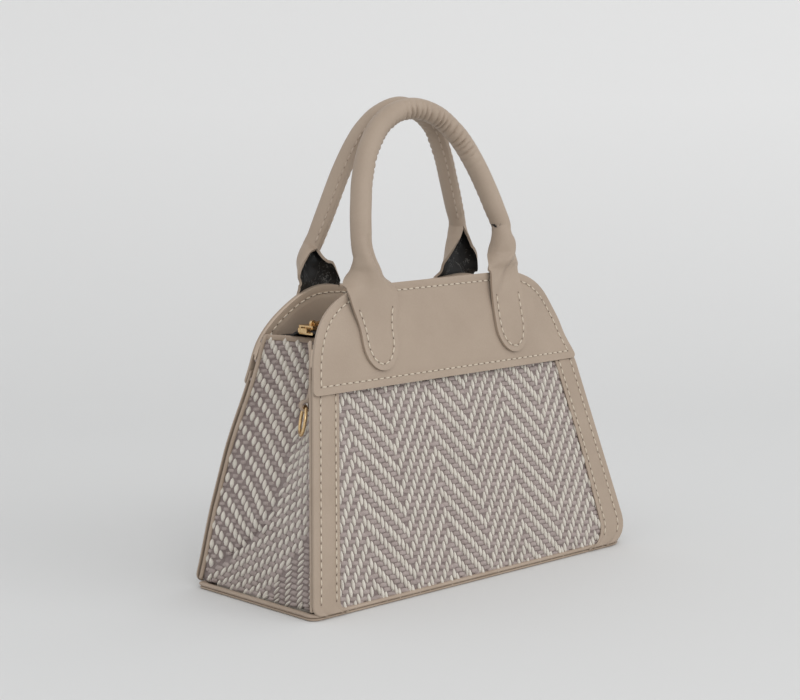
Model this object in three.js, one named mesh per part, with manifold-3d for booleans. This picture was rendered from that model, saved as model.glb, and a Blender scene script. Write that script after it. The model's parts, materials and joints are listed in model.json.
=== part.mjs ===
// Small top-handle handbag: woven panels trimmed with leather, two rolled handles,
// inward folded sides, a zip sunk between two stiff yokes, and a strap ring on each side.
//
// Millimetres, +Z up, front towards -Y, origin on the floor under the middle of the base.

import * as THREE from 'three';
import { mergeVertices } from 'three/addons/utils/BufferGeometryUtils.js';
import Module from 'manifold-3d';

const wasm = await Module();
wasm.setup();

// Driving dimensions of the body

const BASE_WIDTH = 250;
const BASE_DEPTH = 102;
const BASE_CORNER = 8;
const BASE_INNER_CORNER = 3;
const BODY_HEIGHT = 168;
const SIDE_TAPER = 11.4;
const FRONT_LEAN = 12.2;
const BACK_LEAN = 10.5;
const TOP_CORNER = 50;
const FOOT_CORNER = 6;

// Clearance between sewn or glued layers

const GAP = 0.3;

// Layers of a wall, from the inside out

const LINING_THICK = 0.5;
const STIFFENER_THICK = 1;
const FABRIC_THICK = 1.2;
const STRIP_THICK = 1;
const FACING_THICK = 1;
const YOKE_THICK = 1.3;

// Panels of a wall

const PANEL_TOP = 142;
const YOKE_LOW_EDGE = 113.4;
const YOKE_LOW_CORNER = 4;
const YOKE_LAP = 9;
const STRIP_WIDTH = 17;
const STIFFENER_INSET = 8;

// Base

const BINDING_WIDTH = 5;
const BINDING_HEIGHT = 4;
const BASE_PANEL_THICK = 1.6;
const BASE_BOARD_THICK = 2;

// Folded side gussets and their piping

const PIPING_DIAMETER = 3;
const GUSSET_THICK = 1.2;
const GUSSET_TOP = 139.5;
const GUSSET_SAG = 4;
const FOLD_START = 45;
const FOLD_DEPTH = 27;
const FOLD_STEPS = 4;
const TOP_BINDING_HEIGHT = 3;
const TOP_BINDING_WRAP = 0.7;
const LINING_CLEARANCE = 0.9;

// Zip

const ZIP_RISE = 5.5;
const TAPE_LENGTH = 170;
const TAPE_THICK = 0.8;
const TAPE_FLANGE = 6;
const CHAIN_LENGTH = 164;
const TOOTH_PITCH = 2.9;
const TOOTH_WIDTH = 1.6;
const TOOTH_LENGTH = 2.2;
const TOOTH_HEIGHT = 2.4;
const BEAD_WIDTH = 0.9;
const WEB_THICK = 0.7;
const SLIDER_LENGTH = 10;
const SLIDER_PLATE = 1;
const SLIDER_RIM = 1;
const SLIDER_FLARE = 0.8;
const STOP_LENGTH = 2.5;
const STOP_CORNER = 0.6;
const BRIDGE_WIDTH = 1.6;
const BRIDGE_BAR = 0.9;
const PULL_LENGTH = 24;
const PULL_WIDTH = 8;
const PULL_THICK = 1;
const PULL_EYE = 4.2;

// Handles

const HANDLE_SPACING = 106;
const HANDLE_HEIGHT = 95;
const HANDLE_SPLAY = 8;
const HANDLE_SHOULDER = 42;
const HANDLE_CROWN = 29;
const HANDLE_TUBE = 12;
const HANDLE_LEATHER = 1.5;
const HANDLE_SEAM = 1.2;
const NECK_WIDTH = 32;
const NECK_FLAT = 2;
const NECK_LENGTH = 24;
const CORE_DIAMETER = 8.4;
const PIVOT_RISE = 1.6;
const PIVOT_CLEARANCE = 0.5;
const HANDLE_MEETING = 7.6;
const TAB_LENGTH = 49;
const TAB_END_WIDTH = 23;
const TAB_SLANT = 3.5;

// Strap rings

const RING_DIAMETER = 18;
const RING_WIRE = 2;
const RING_STAND_OFF = 4;
const RING_HANGER_HEIGHT = 107;
const RING_FROM_FOLD = 0.62;
const RING_TAB_WIDTH = 7;
const RING_TAB_LENGTH = 16;
const RING_TAB_LIFT = 1;
const RING_LEATHER = 1.1;

// Facets

const ARC_STEPS = 5;
const HANDLE_STEPS = 24;
const SECTION_STEPS = 10;
const RING_STEPS = 28;
const WIRE_SIDES = 8;
const NECK_SHARES = [0, 0.15, 0.3, 0.45, 0.6, 0.8];
const ROUND_END_ANGLES = [80, 50, 25];
const FOLD_SHARES = [-1, -0.5, 0, 0.5, 1];
const FLAT_BEND = 1e-3;
const MERGE_DISTANCE = 1e-3;

// Materials

function finish(color, roughness, metalness = 0) {
  return () => new THREE.MeshStandardMaterial({ color, roughness, metalness });
}

const leather = finish(0xac9b8a, 0.55);
const weave = finish(0x9a8f8b, 0.9);
const blackCloth = finish(0x1d1c1d, 0.8);
const board = finish(0x8c857b, 0.9);
const cordFill = finish(0xd6d0c4, 0.95);
const gold = finish(0xcdaa72, 0.28, 1);

// Places worked out from the driving dimensions

const RAD = Math.PI / 180;
const FRONT = { sign: -1, lean: FRONT_LEAN * RAD };
const BACK = { sign: 1, lean: BACK_LEAN * RAD };
const sideSlope = Math.tan(SIDE_TAPER * RAD);

const footZ = BINDING_HEIGHT + GAP;
const stripFace = GAP + STRIP_THICK;
const yokeBack = GAP + Math.max(STRIP_THICK, FACING_THICK) + GAP;
const yokeFace = yokeBack + YOKE_THICK;
const tabBack = yokeFace + GAP;
const tabMiddle = tabBack + HANDLE_LEATHER / 2;
const fabricBack = -FABRIC_THICK;
const stiffenerFace = fabricBack - GAP;
const liningFace = stiffenerFace - STIFFENER_THICK - GAP;
const wallFootY = BASE_DEPTH / 2 - stripFace;
const gussetRecess = PIPING_DIAMETER + 3 * GAP;
const stripTop = YOKE_LOW_EDGE + YOKE_LAP;
const zipHeight = GUSSET_TOP + ZIP_RISE;
const tubeBend = HANDLE_TUBE / 2 - HANDLE_LEATHER / 2;

// Half the body's width at a height
function halfWidth(z) {
  return BASE_WIDTH / 2 - sideSlope * z;
}

// Distance of a wall's layer from the middle plane at a height; layer is measured along
// the wall's outward normal from the outer face of the woven panel
function wallY(wall, z, layer) {
  const leaned = wallFootY - (z - footZ) * Math.tan(wall.lean) + layer / Math.cos(wall.lean);
  return wall.sign * leaned;
}

// Height at which a layer behind the panel's face starts, so that its lower edge clears the base
function layerFoot(wall, layer) {
  return footZ - layer * Math.sin(wall.lean);
}

// Distance up a wall's slope of a height
function slope(wall, z) {
  return (z - footZ) / Math.cos(wall.lean);
}

// Solid helpers

function bufferGeometry(points, triangles) {
  const geometry = new THREE.BufferGeometry();
  const flat = points.flatMap((p) => [p.x, p.y, p.z]);
  geometry.setAttribute('position', new THREE.Float32BufferAttribute(flat, 3));
  geometry.setIndex(triangles.flat());
  return geometry;
}

// Turns the faces outwards, by the sign of the enclosed volume
function facingOut(points, triangles) {
  let volume = 0;
  for (const [a, b, c] of triangles) {
    volume += points[a].dot(new THREE.Vector3().crossVectors(points[b], points[c]));
  }
  const turned = volume < 0 ? triangles.map(([a, b, c]) => [a, c, b]) : triangles;
  return bufferGeometry(points, turned);
}

// A flat plate cut from a shape in the XY plane, between two heights
function plate(shape, low, high, steps = ARC_STEPS) {
  const options = { depth: high - low, bevelEnabled: false, curveSegments: steps };
  return new THREE.ExtrudeGeometry(shape, options).translate(0, 0, low);
}

// A bar with its section drawn in the YZ plane, centred on X
function barAlongX(section, length) {
  const geometry = plate(section, -length / 2, length / 2);
  const axes = new THREE.Matrix4().makeBasis(
    new THREE.Vector3(0, 1, 0), new THREE.Vector3(0, 0, 1), new THREE.Vector3(1, 0, 0));
  return geometry.applyMatrix4(axes);
}

// A bar with its outline drawn in the XZ plane, centred on Y
function barAlongY(outline, width) {
  return plate(outline, -width / 2, width / 2).rotateX(Math.PI / 2);
}

// A closed sheet between an outer and an inner grid of points, each rows by columns
function sheet(outer, inner) {
  const rows = outer.length;
  const columns = outer[0].length;
  const points = [...outer.flat(), ...inner.flat()];
  const at = (layer, i, j) => layer * rows * columns + i * columns + j;
  const middle = (columns - 1) / 2;
  const triangles = [];
  const quad = (a, b, c, d) => triangles.push([a, b, c], [a, c, d]);
  for (let i = 0; i + 1 < rows; i += 1) {
    for (let j = 0; j + 1 < columns; j += 1) {
      const o = [at(0, i, j), at(0, i, j + 1), at(0, i + 1, j + 1), at(0, i + 1, j)];
      const n = [at(1, i, j), at(1, i + 1, j), at(1, i + 1, j + 1), at(1, i, j + 1)];
      const turn = j < middle ? 0 : 1;
      quad(o[turn], o[turn + 1], o[turn + 2], o[(turn + 3) % 4]);
      quad(n[(4 - turn) % 4], n[(5 - turn) % 4], n[(6 - turn) % 4], n[(7 - turn) % 4]);
    }
  }
  for (let j = 0; j + 1 < columns; j += 1) {
    quad(at(0, 0, j), at(1, 0, j), at(1, 0, j + 1), at(0, 0, j + 1));
    quad(at(0, rows - 1, j), at(0, rows - 1, j + 1), at(1, rows - 1, j + 1), at(1, rows - 1, j));
  }
  for (let i = 0; i + 1 < rows; i += 1) {
    quad(at(0, i, 0), at(0, i + 1, 0), at(1, i + 1, 0), at(1, i, 0));
    quad(at(0, i, columns - 1), at(1, i, columns - 1),
      at(1, i + 1, columns - 1), at(0, i + 1, columns - 1));
  }
  return facingOut(points, triangles);
}

// A skin through closed loops of equal count, with its two ends closed by a fan or by
// rungs between the two halves of the loop; crossed picks a facet's other diagonal
function skin(loops, ends, crossed = () => false) {
  const count = loops[0].length;
  const points = loops.flat();
  const last = (loops.length - 1) * count;
  const triangles = [];
  for (let i = 0; i + 1 < loops.length; i += 1) {
    for (let k = 0; k < count; k += 1) {
      const a = i * count + k;
      const b = i * count + ((k + 1) % count);
      if (crossed(i, k)) triangles.push([a, b, a + count], [b, b + count, a + count]);
      else triangles.push([a, b, b + count], [a, b + count, a + count]);
    }
  }
  const near = ends === 'fan' ? fanEnd(count) : rungEnd(count);
  for (const [a, b, c] of near) {
    triangles.push([a, c, b], [last + a, last + b, last + c]);
  }
  return facingOut(points, triangles);
}

function fanEnd(count) {
  return Array.from({ length: count - 2 }, (_, k) => [0, k + 1, k + 2]);
}

function rungEnd(count) {
  const triangles = [];
  for (let k = 0; k + 1 < count / 2; k += 1) {
    const across = count - 1 - k;
    triangles.push([k, k + 1, across - 1], [k, across - 1, across]);
  }
  return triangles;
}

// Boolean work on closed meshes

function solid(geometry) {
  const bare = new THREE.BufferGeometry();
  bare.setAttribute('position', geometry.getAttribute('position').clone());
  if (geometry.index) bare.setIndex(geometry.index.clone());
  const merged = mergeVertices(bare, MERGE_DISTANCE);
  return new wasm.Manifold(new wasm.Mesh({
    numProp: 3,
    vertProperties: new Float32Array(merged.getAttribute('position').array),
    triVerts: new Uint32Array(merged.index.array),
  }));
}

function fromSolid(manifold) {
  const mesh = manifold.getMesh();
  const geometry = new THREE.BufferGeometry();
  geometry.setAttribute('position', new THREE.BufferAttribute(mesh.vertProperties, 3));
  geometry.setIndex(new THREE.BufferAttribute(mesh.triVerts, 1));
  return geometry;
}

// Scene graph helpers

function piece(name, geometry, material) {
  const mesh = new THREE.Mesh(geometry, material());
  mesh.name = name;
  return mesh;
}

function groupOf(...children) {
  const group = new THREE.Group();
  for (const child of children) group.add(child);
  return group;
}

// A wall's own frame: X across, Y up its slope, Z along its outward normal, zero at the
// foot of the woven panel's outer face
function standOnWall(wall, ...children) {
  const leaned = groupOf(...children);
  leaned.position.set(0, -wallFootY, footZ);
  leaned.rotation.x = Math.PI / 2 - wall.lean;
  const turned = groupOf(leaned);
  turned.rotation.z = wall.sign < 0 ? 0 : Math.PI;
  return turned;
}

// Outlines

function roundedRectangle(width, depth, radius) {
  const w = width / 2;
  const d = depth / 2;
  const shape = new THREE.Shape();
  shape.moveTo(-w + radius, -d);
  shape.lineTo(w - radius, -d);
  shape.absarc(w - radius, -d + radius, radius, -Math.PI / 2, 0);
  shape.lineTo(w, d - radius);
  shape.absarc(w - radius, d - radius, radius, 0, Math.PI / 2);
  shape.lineTo(-w + radius, d);
  shape.absarc(-w + radius, d - radius, radius, Math.PI / 2, Math.PI);
  shape.lineTo(-w, -d + radius);
  shape.absarc(-w + radius, -d + radius, radius, Math.PI, 1.5 * Math.PI);
  return shape;
}

// The part of a wall's outline between two heights, drawn in the wall's own frame: straight
// tapered sides that run into large round top corners
function wallOutline(wall, lowZ, highZ, lowCorner, inset = 0) {
  const low = slope(wall, lowZ);
  const high = slope(wall, highZ);
  const taper = Math.atan(sideSlope * Math.cos(wall.lean));
  const side = (v) => halfWidth(footZ + v * Math.cos(wall.lean)) - inset / Math.cos(taper);
  const radius = TOP_CORNER - inset;
  const arcY = slope(wall, BODY_HEIGHT) - TOP_CORNER;
  const arcX = side(arcY) - radius / Math.cos(taper);
  const tangentY = arcY + radius * Math.sin(taper);
  const endAngle = Math.asin(Math.min(1, (high - arcY) / radius));
  const shape = new THREE.Shape();
  shape.moveTo(0, low);
  shape.lineTo(side(low) - lowCorner, low);
  shape.quadraticCurveTo(side(low), low, side(low + lowCorner), low + lowCorner);
  if (high > tangentY) {
    shape.absarc(arcX, arcY, radius, taper, endAngle);
    shape.lineTo(0, high);
    shape.absarc(-arcX, arcY, radius, Math.PI - endAngle, Math.PI - taper);
  } else {
    shape.lineTo(side(high), high);
    shape.lineTo(-side(high), high);
  }
  shape.lineTo(-side(low + lowCorner), low + lowCorner);
  shape.quadraticCurveTo(-side(low), low, -side(low) + lowCorner, low);
  return shape;
}

// One leather strip along a side edge of a wall, from the foot up under the yoke
function stripOutline(wall, hand) {
  const high = slope(wall, stripTop);
  const edge = (v) => halfWidth(footZ + v * Math.cos(wall.lean));
  const shape = new THREE.Shape();
  shape.moveTo(hand * (edge(0) - STRIP_WIDTH), 0);
  shape.lineTo(hand * (edge(0) - FOOT_CORNER), 0);
  shape.quadraticCurveTo(hand * edge(0), 0, hand * edge(FOOT_CORNER), FOOT_CORNER);
  shape.lineTo(hand * edge(high), high);
  shape.lineTo(hand * (edge(high) - STRIP_WIDTH), high);
  return shape;
}

// Base: binding frame, leather panel and board

function makeBase() {
  const frame = roundedRectangle(BASE_WIDTH, BASE_DEPTH, BASE_CORNER);
  const within = (inset) => roundedRectangle(
    BASE_WIDTH - 2 * inset, BASE_DEPTH - 2 * inset, BASE_INNER_CORNER);
  frame.holes.push(within(BINDING_WIDTH));
  const inside = within(BINDING_WIDTH + GAP);
  const boardLow = BASE_PANEL_THICK + GAP;
  return groupOf(
    piece('base_binding', plate(frame, 0, BINDING_HEIGHT), leather),
    piece('base_panel', plate(inside, 0, BASE_PANEL_THICK), leather),
    piece('base_board', plate(inside, boardLow, boardLow + BASE_BOARD_THICK), board));
}

// Walls: woven panel, side strips, yoke with its facing, and the hidden stiffener

function makeWall(wall, name) {
  const stiffenerBack = stiffenerFace - STIFFENER_THICK;
  const panelFoot = layerFoot(wall, fabricBack);
  const stiffFoot = layerFoot(wall, stiffenerBack);
  const panel = wallOutline(wall, panelFoot, PANEL_TOP, FOOT_CORNER);
  const stiff = wallOutline(wall, stiffFoot, PANEL_TOP, FOOT_CORNER, STIFFENER_INSET);
  const yoke = wallOutline(wall, YOKE_LOW_EDGE, BODY_HEIGHT, YOKE_LOW_CORNER);
  const facing = wallOutline(wall, stripTop + GAP, BODY_HEIGHT, 0);
  const rightHand = -wall.sign;
  return standOnWall(wall,
    piece(`${name}_fabric_panel`, plate(panel, fabricBack, 0), weave),
    piece(`${name}_stiffener`, plate(stiff, stiffenerBack, stiffenerFace), board),
    piece(`${name}_right_strip`, plate(stripOutline(wall, rightHand), GAP, stripFace), leather),
    piece(`${name}_left_strip`, plate(stripOutline(wall, -rightHand), GAP, stripFace), leather),
    piece(`${name}_facing`, plate(facing, GAP, GAP + FACING_THICK), leather),
    piece(`${name}_yoke`, plate(yoke, yokeBack, yokeFace), leather),
    makeHandleTab(wall, `${name}_right_handle_tab`, rightHand),
    makeHandleTab(wall, `${name}_left_handle_tab`, -rightHand),
    makeHandle(wall, name),
    makePiping(wall, `${name}_right_piping`, rightHand),
    makePiping(wall, `${name}_left_piping`, -rightHand));
}

// Round piping along the inner side edge of a wall, where the gusset is sewn in
function makePiping(wall, name, hand) {
  const radius = PIPING_DIAMETER / 2;
  const edge = (v) => hand * (halfWidth(footZ + v * Math.cos(wall.lean)) - radius - GAP);
  const depth = fabricBack - GAP - radius;
  const low = slope(wall, layerFoot(wall, depth - radius));
  const high = slope(wall, GUSSET_TOP);
  const line = new THREE.LineCurve3(
    new THREE.Vector3(edge(low), low, depth), new THREE.Vector3(edge(high), high, depth));
  const section = new THREE.Shape().absarc(0, 0, radius, 0, 2 * Math.PI);
  const options = { steps: 1, extrudePath: line, curveSegments: ARC_STEPS };
  return piece(name, new THREE.ExtrudeGeometry(section, options), leather);
}

// Gussets: a sheet with one inward fold that deepens from the fold's start to the top

// A point of the left gusset at a height; across runs from -1 at the front wall to 1 at the
// back wall, and inward is the depth under the outer face
function gussetPoint(across, z, inward) {
  const frontY = wallY(FRONT, z, fabricBack - GAP);
  const backY = wallY(BACK, z, fabricBack - GAP);
  const y = THREE.MathUtils.lerp(frontY, backY, (across + 1) / 2);
  const fold = foldAt(z) * (1 - Math.abs(across));
  return new THREE.Vector3(-halfWidth(z) + gussetRecess + fold + inward, y, z);
}

function foldAt(z) {
  return FOLD_DEPTH * Math.max(0, (z - FOLD_START) / (GUSSET_TOP - FOLD_START));
}

function foldLevels() {
  const rise = (k) => k / FOLD_STEPS;
  const above = Array.from({ length: FOLD_STEPS }, (_, k) => rise(k + 1));
  return [footZ, FOLD_START, ...above.map((r) => FOLD_START + r * (GUSSET_TOP - FOLD_START))];
}

// Lowers the top edge towards the fold, as a share of the height above the fold's start
function sagged(across, z) {
  const share = Math.max(0, (z - FOLD_START) / (GUSSET_TOP - FOLD_START));
  return z - GUSSET_SAG * share * (1 - Math.abs(across));
}

function mirrored(geometry) {
  geometry.scale(-1, 1, 1);
  const index = geometry.index.array;
  for (let k = 0; k < index.length; k += 3) [index[k], index[k + 1]] = [index[k + 1], index[k]];
  return geometry;
}

function gussetSheet() {
  const grid = (inward) => foldLevels().map((z) => FOLD_SHARES.map(
    (t) => gussetPoint(t, sagged(t, z), inward)));
  return sheet(grid(0), grid(GUSSET_THICK));
}

function gussetTopBinding() {
  const grid = (inward) => [0, TOP_BINDING_HEIGHT].map((rise) => FOLD_SHARES.map((t) => {
    const edge = gussetPoint(t, sagged(t, GUSSET_TOP), inward);
    const z = edge.z + GAP + rise;
    const leaned = gussetPoint(t, z, inward);
    return new THREE.Vector3(edge.x, leaned.y, z);
  }));
  return sheet(grid(-TOP_BINDING_WRAP), grid(GUSSET_THICK + TOP_BINDING_WRAP));
}

function makeGussets() {
  return groupOf(
    piece('left_gusset', gussetSheet(), weave),
    piece('right_gusset', mirrored(gussetSheet()), weave),
    piece('left_gusset_top_binding', gussetTopBinding(), leather),
    piece('right_gusset_top_binding', mirrored(gussetTopBinding()), leather));
}

// Lining: an open-topped pouch that follows the walls and the folded gussets

function liningLoop(z, inset) {
  const shift = GUSSET_THICK + LINING_CLEARANCE + inset;
  const frontY = wallY(FRONT, z, liningFace - inset);
  const backY = wallY(BACK, z, liningFace - inset);
  const gussetSpan = wallY(BACK, z, fabricBack - GAP) - wallY(FRONT, z, fabricBack - GAP);
  const seamShare = 1 - (backY - frontY) / gussetSpan;
  const foldX = -halfWidth(z) + gussetRecess + shift + foldAt(z);
  const endX = foldX - foldAt(z) * (1 - seamShare);
  const middleY = (frontY + backY) / 2;
  const half = [[endX, frontY], [foldX, middleY], [endX, backY]];
  const left = half.map(([x, y]) => new THREE.Vector3(x, y, z));
  const right = [...half].reverse().map(([x, y]) => new THREE.Vector3(-x, y, z));
  return [...left, ...right];
}

function makeLining() {
  const low = Math.max(footZ, BASE_PANEL_THICK + GAP + BASE_BOARD_THICK + GAP);
  const levels = [low, ...foldLevels().slice(1)];
  const outside = levels.map((z) => liningLoop(z, 0));
  const inside = levels.map((z) => liningLoop(z, LINING_THICK)).reverse();
  for (const point of inside.at(-1)) point.z += LINING_THICK;
  const leavesFold = (k) => k === 1 || k === 4;
  const crossed = (i, k) => leavesFold(k) === (i < levels.length);
  return piece('lining', skin([...outside, ...inside], 'fan', crossed), blackCloth);
}

// Handles: a leather strip rolled round a cord, unrolled to a flat neck at each end

class HandleLine extends THREE.Curve {
  constructor(trim = 0) {
    super();
    this.trim = trim;
    const foot = HANDLE_SPACING / 2;
    const leg = (hand) => [
      new THREE.Vector3(hand * foot, 0, 0),
      new THREE.Vector3(hand * (foot + HANDLE_SPLAY), HANDLE_SHOULDER, 0),
      new THREE.Vector3(hand * HANDLE_CROWN, HANDLE_HEIGHT, 0),
      new THREE.Vector3(0, HANDLE_HEIGHT, 0)];
    this.path = new THREE.CurvePath();
    this.path.add(new THREE.CubicBezierCurve3(...leg(-1)));
    this.path.add(new THREE.CubicBezierCurve3(...leg(1).reverse()));
  }

  get span() {
    return this.path.getLength();
  }

  getPoint(t, target = new THREE.Vector3()) {
    const start = this.trim / this.span;
    return target.copy(this.path.getPointAt(THREE.MathUtils.lerp(start, 1 - start, t)));
  }
}

// One section of the rolled strip at a distance from the nearer foot: an arc of leather
// whose bend grows from flat at the neck to a closed tube round the handle's middle line
function handleSection(line, distance, halfThick) {
  const span = line.span;
  const inside = THREE.MathUtils.clamp(distance, 0, span);
  const at = line.path.getPointAt(inside / span);
  const along = line.path.getTangentAt(inside / span);
  const fromFoot = Math.min(inside, span - inside);
  const rolled = THREE.MathUtils.smoothstep(fromFoot, NECK_FLAT, NECK_FLAT + NECK_LENGTH);
  const square = THREE.MathUtils.smoothstep(fromFoot, 0, NECK_LENGTH);
  const upright = new THREE.Vector3(0, at.x < 0 ? 1 : -1, 0);
  const forward = upright.lerp(along, square).normalize();
  const across = new THREE.Vector3(forward.y, -forward.x, 0);
  const bend = Math.max(rolled, FLAT_BEND) / tubeBend;
  const closedWidth = 2 * Math.PI * tubeBend - HANDLE_SEAM;
  const halfWidthHere = THREE.MathUtils.lerp(NECK_WIDTH, closedWidth, rolled) / 2;
  const beyond = along.clone().multiplyScalar(distance - inside);
  const place = (share, side) => {
    const angle = bend * halfWidthHere * share;
    const sideways = Math.sin(angle) / bend + side * halfThick * Math.sin(angle);
    const curl = (Math.cos(angle) - 1) / bend + rolled * tubeBend;
    const outward = curl + side * halfThick * Math.cos(angle);
    return at.clone().add(beyond).addScaledVector(across, sideways).setZ(outward);
  };
  const shares = Array.from({ length: SECTION_STEPS + 1 }, (_, k) => 2 * k / SECTION_STEPS - 1);
  return [...shares.map((s) => place(s, 1)), ...shares.toReversed().map((s) => place(s, -1))];
}

function handleCover() {
  const line = new HandleLine();
  const span = line.span;
  const half = HANDLE_LEATHER / 2;
  const roundEnd = ROUND_END_ANGLES.map((angle) => ({
    beyond: half * Math.sin(angle * RAD), thick: half * Math.cos(angle * RAD) }));
  const neckEnd = NECK_FLAT + NECK_LENGTH;
  const neckSteps = NECK_SHARES.map((share) => share * neckEnd);
  const tube = Array.from({ length: HANDLE_STEPS + 1 },
    (_, k) => THREE.MathUtils.lerp(neckEnd, span - neckEnd, k / HANDLE_STEPS));
  const stations = [
    ...roundEnd.map(({ beyond, thick }) => [-beyond, thick]),
    ...[...neckSteps, ...tube].map((distance) => [distance, half]),
    ...neckSteps.toReversed().map((distance) => [span - distance, half]),
    ...roundEnd.toReversed().map(({ beyond, thick }) => [span + beyond, thick])];
  return skin(stations.map(([distance, thick]) => handleSection(line, distance, thick)), 'rungs');
}

function handleCore() {
  const line = new HandleLine(NECK_FLAT + NECK_LENGTH);
  const section = new THREE.Shape().absarc(0, 0, CORE_DIAMETER / 2, 0, 2 * Math.PI);
  const options = { steps: HANDLE_STEPS, extrudePath: line, curveSegments: ARC_STEPS };
  return new THREE.ExtrudeGeometry(section, options);
}

// Lean from upright at which a handle's crown rests by the other one's, over a meeting line
// that lies a little behind the middle of the base
function handleLean(wall) {
  const up = slope(wall, BODY_HEIGHT) + PIVOT_RISE;
  const pivot = wallFootY - up * Math.sin(wall.lean) + tabMiddle * Math.cos(wall.lean);
  const crown = wall.sign * HANDLE_MEETING + HANDLE_TUBE / 2 + GAP;
  return Math.asin((pivot - crown) / HANDLE_HEIGHT);
}

function makeHandle(wall, name) {
  const handle = groupOf(
    piece(`${name}_handle_cover`, handleCover(), leather),
    piece(`${name}_handle_core`, handleCore(), cordFill));
  handle.position.set(0, slope(wall, BODY_HEIGHT) + PIVOT_RISE, tabMiddle);
  handle.rotation.x = wall.lean - handleLean(wall);
  return handle;
}

// The end of the handle strip below the pivot, sewn flat on the yoke
function makeHandleTab(wall, name, hand) {
  const top = -HANDLE_LEATHER / 2 - PIVOT_CLEARANCE;
  const radius = TAB_END_WIDTH / 2;
  const shape = new THREE.Shape();
  shape.moveTo(-NECK_WIDTH / 2, top);
  shape.lineTo(-radius, radius - TAB_LENGTH);
  shape.absarc(0, radius - TAB_LENGTH, radius, Math.PI, 2 * Math.PI);
  shape.lineTo(NECK_WIDTH / 2, top);
  const slant = TAB_SLANT * RAD;
  const cut = plate(shape, tabBack, tabBack + HANDLE_LEATHER, 2 * ARC_STEPS);
  const position = cut.getAttribute('position');
  for (let k = 0; k < position.count; k += 1) {
    const lean = (position.getY(k) - top) * Math.tan(slant);
    position.setX(k, position.getX(k) + hand * (HANDLE_SPACING / 2 + lean));
  }
  cut.translate(0, slope(wall, BODY_HEIGHT) + PIVOT_RISE, 0);
  return piece(name, cut, leather);
}

// Zip

const zipY = (wallY(FRONT, zipHeight, 0) + wallY(BACK, zipHeight, 0)) / 2;
const toothTip = WEB_THICK / 2 + GAP;
const chainEdge = toothTip + TOOTH_LENGTH + BEAD_WIDTH;
const sliderTop = TOOTH_HEIGHT / 2 + GAP + SLIDER_PLATE;
const pivotHeight = sliderTop + GAP + PULL_THICK / 2;
const sliderX = -CHAIN_LENGTH / 2 + SLIDER_LENGTH / 2;

// One tape: a flat web from the teeth to the yoke, and a flange sewn up the facing
function tapeSection(wall) {
  const low = zipHeight - TAPE_THICK / 2;
  const high = zipHeight + TAPE_THICK / 2;
  const top = high + TAPE_FLANGE;
  const inner = zipY + wall.sign * (chainEdge + GAP);
  return new THREE.Shape([
    new THREE.Vector2(inner, low), new THREE.Vector2(inner, high),
    new THREE.Vector2(wallY(wall, high, -TAPE_THICK), high),
    new THREE.Vector2(wallY(wall, top, -TAPE_THICK), top),
    new THREE.Vector2(wallY(wall, top, 0), top),
    new THREE.Vector2(wallY(wall, low, 0), low)]);
}

// One row of teeth on its bead; the two rows stand half a pitch apart
function teethOutline(wall) {
  const half = CHAIN_LENGTH / 2;
  const outer = wall.sign * chainEdge;
  const root = wall.sign * (toothTip + TOOTH_LENGTH);
  const tip = wall.sign * toothTip;
  const start = wall.sign < 0 ? TOOTH_PITCH / 4 : TOOTH_PITCH * 3 / 4;
  const count = Math.floor((CHAIN_LENGTH - start - TOOTH_WIDTH) / TOOTH_PITCH) + 1;
  const shape = new THREE.Shape();
  shape.moveTo(-half, outer);
  shape.lineTo(-half, root);
  for (let k = 0; k < count; k += 1) {
    const x = -half + start + k * TOOTH_PITCH;
    shape.lineTo(x, root);
    shape.lineTo(x, tip);
    shape.lineTo(x + TOOTH_WIDTH, tip);
    shape.lineTo(x + TOOTH_WIDTH, root);
  }
  shape.lineTo(half, root);
  shape.lineTo(half, outer);
  return shape;
}

// Slider: two plates joined by a thin web between the rows, with rims turned towards the
// tapes, cut to a flared plan, and a bridge for the pull
function sliderGeometry() {
  const inside = chainEdge + GAP;
  const outside = inside + SLIDER_RIM + SLIDER_FLARE;
  const face = TOOTH_HEIGHT / 2 + GAP;
  const lip = TAPE_THICK / 2 + GAP;
  const web = WEB_THICK / 2;
  const upper = [[web, face], [inside, face], [inside, lip], [outside, lip], [outside, sliderTop]];
  const right = [...upper.toReversed(), ...upper.map(([y, z]) => [y, -z])];
  const left = right.map(([y, z]) => [-y, -z]);
  const section = new THREE.Shape([...right, ...left].map(([y, z]) => new THREE.Vector2(y, z)));
  const plan = new THREE.Shape();
  const narrow = inside + SLIDER_RIM;
  const half = SLIDER_LENGTH / 2;
  plan.moveTo(half, -narrow);
  plan.lineTo(half, narrow);
  plan.lineTo(0, narrow);
  plan.quadraticCurveTo(-half / 2, outside, -half, outside);
  plan.lineTo(-half, -outside);
  plan.quadraticCurveTo(-half / 2, -outside, 0, -narrow);
  const body = solid(barAlongX(section, SLIDER_LENGTH))
    .intersect(solid(plate(plan, -2 * sliderTop, 2 * sliderTop)));
  return fromSolid(body.add(solid(barAlongY(bridgeOutline(), BRIDGE_WIDTH))));
}

// An arch over the pull's cross bar, sunk a little into the slider's top plate
function bridgeOutline() {
  const clear = PULL_THICK / 2 + GAP;
  const reach = clear + BRIDGE_BAR;
  const foot = sliderTop - SLIDER_PLATE / 2;
  const arch = new THREE.Shape();
  arch.moveTo(-reach, foot);
  arch.lineTo(reach, foot);
  arch.lineTo(reach, pivotHeight);
  arch.absarc(0, pivotHeight, reach, 0, Math.PI);
  const opening = new THREE.Path();
  opening.moveTo(-clear, sliderTop);
  opening.lineTo(clear, sliderTop);
  opening.lineTo(clear, pivotHeight);
  opening.absarc(0, pivotHeight, clear, 0, Math.PI);
  arch.holes.push(opening);
  return arch;
}

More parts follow.
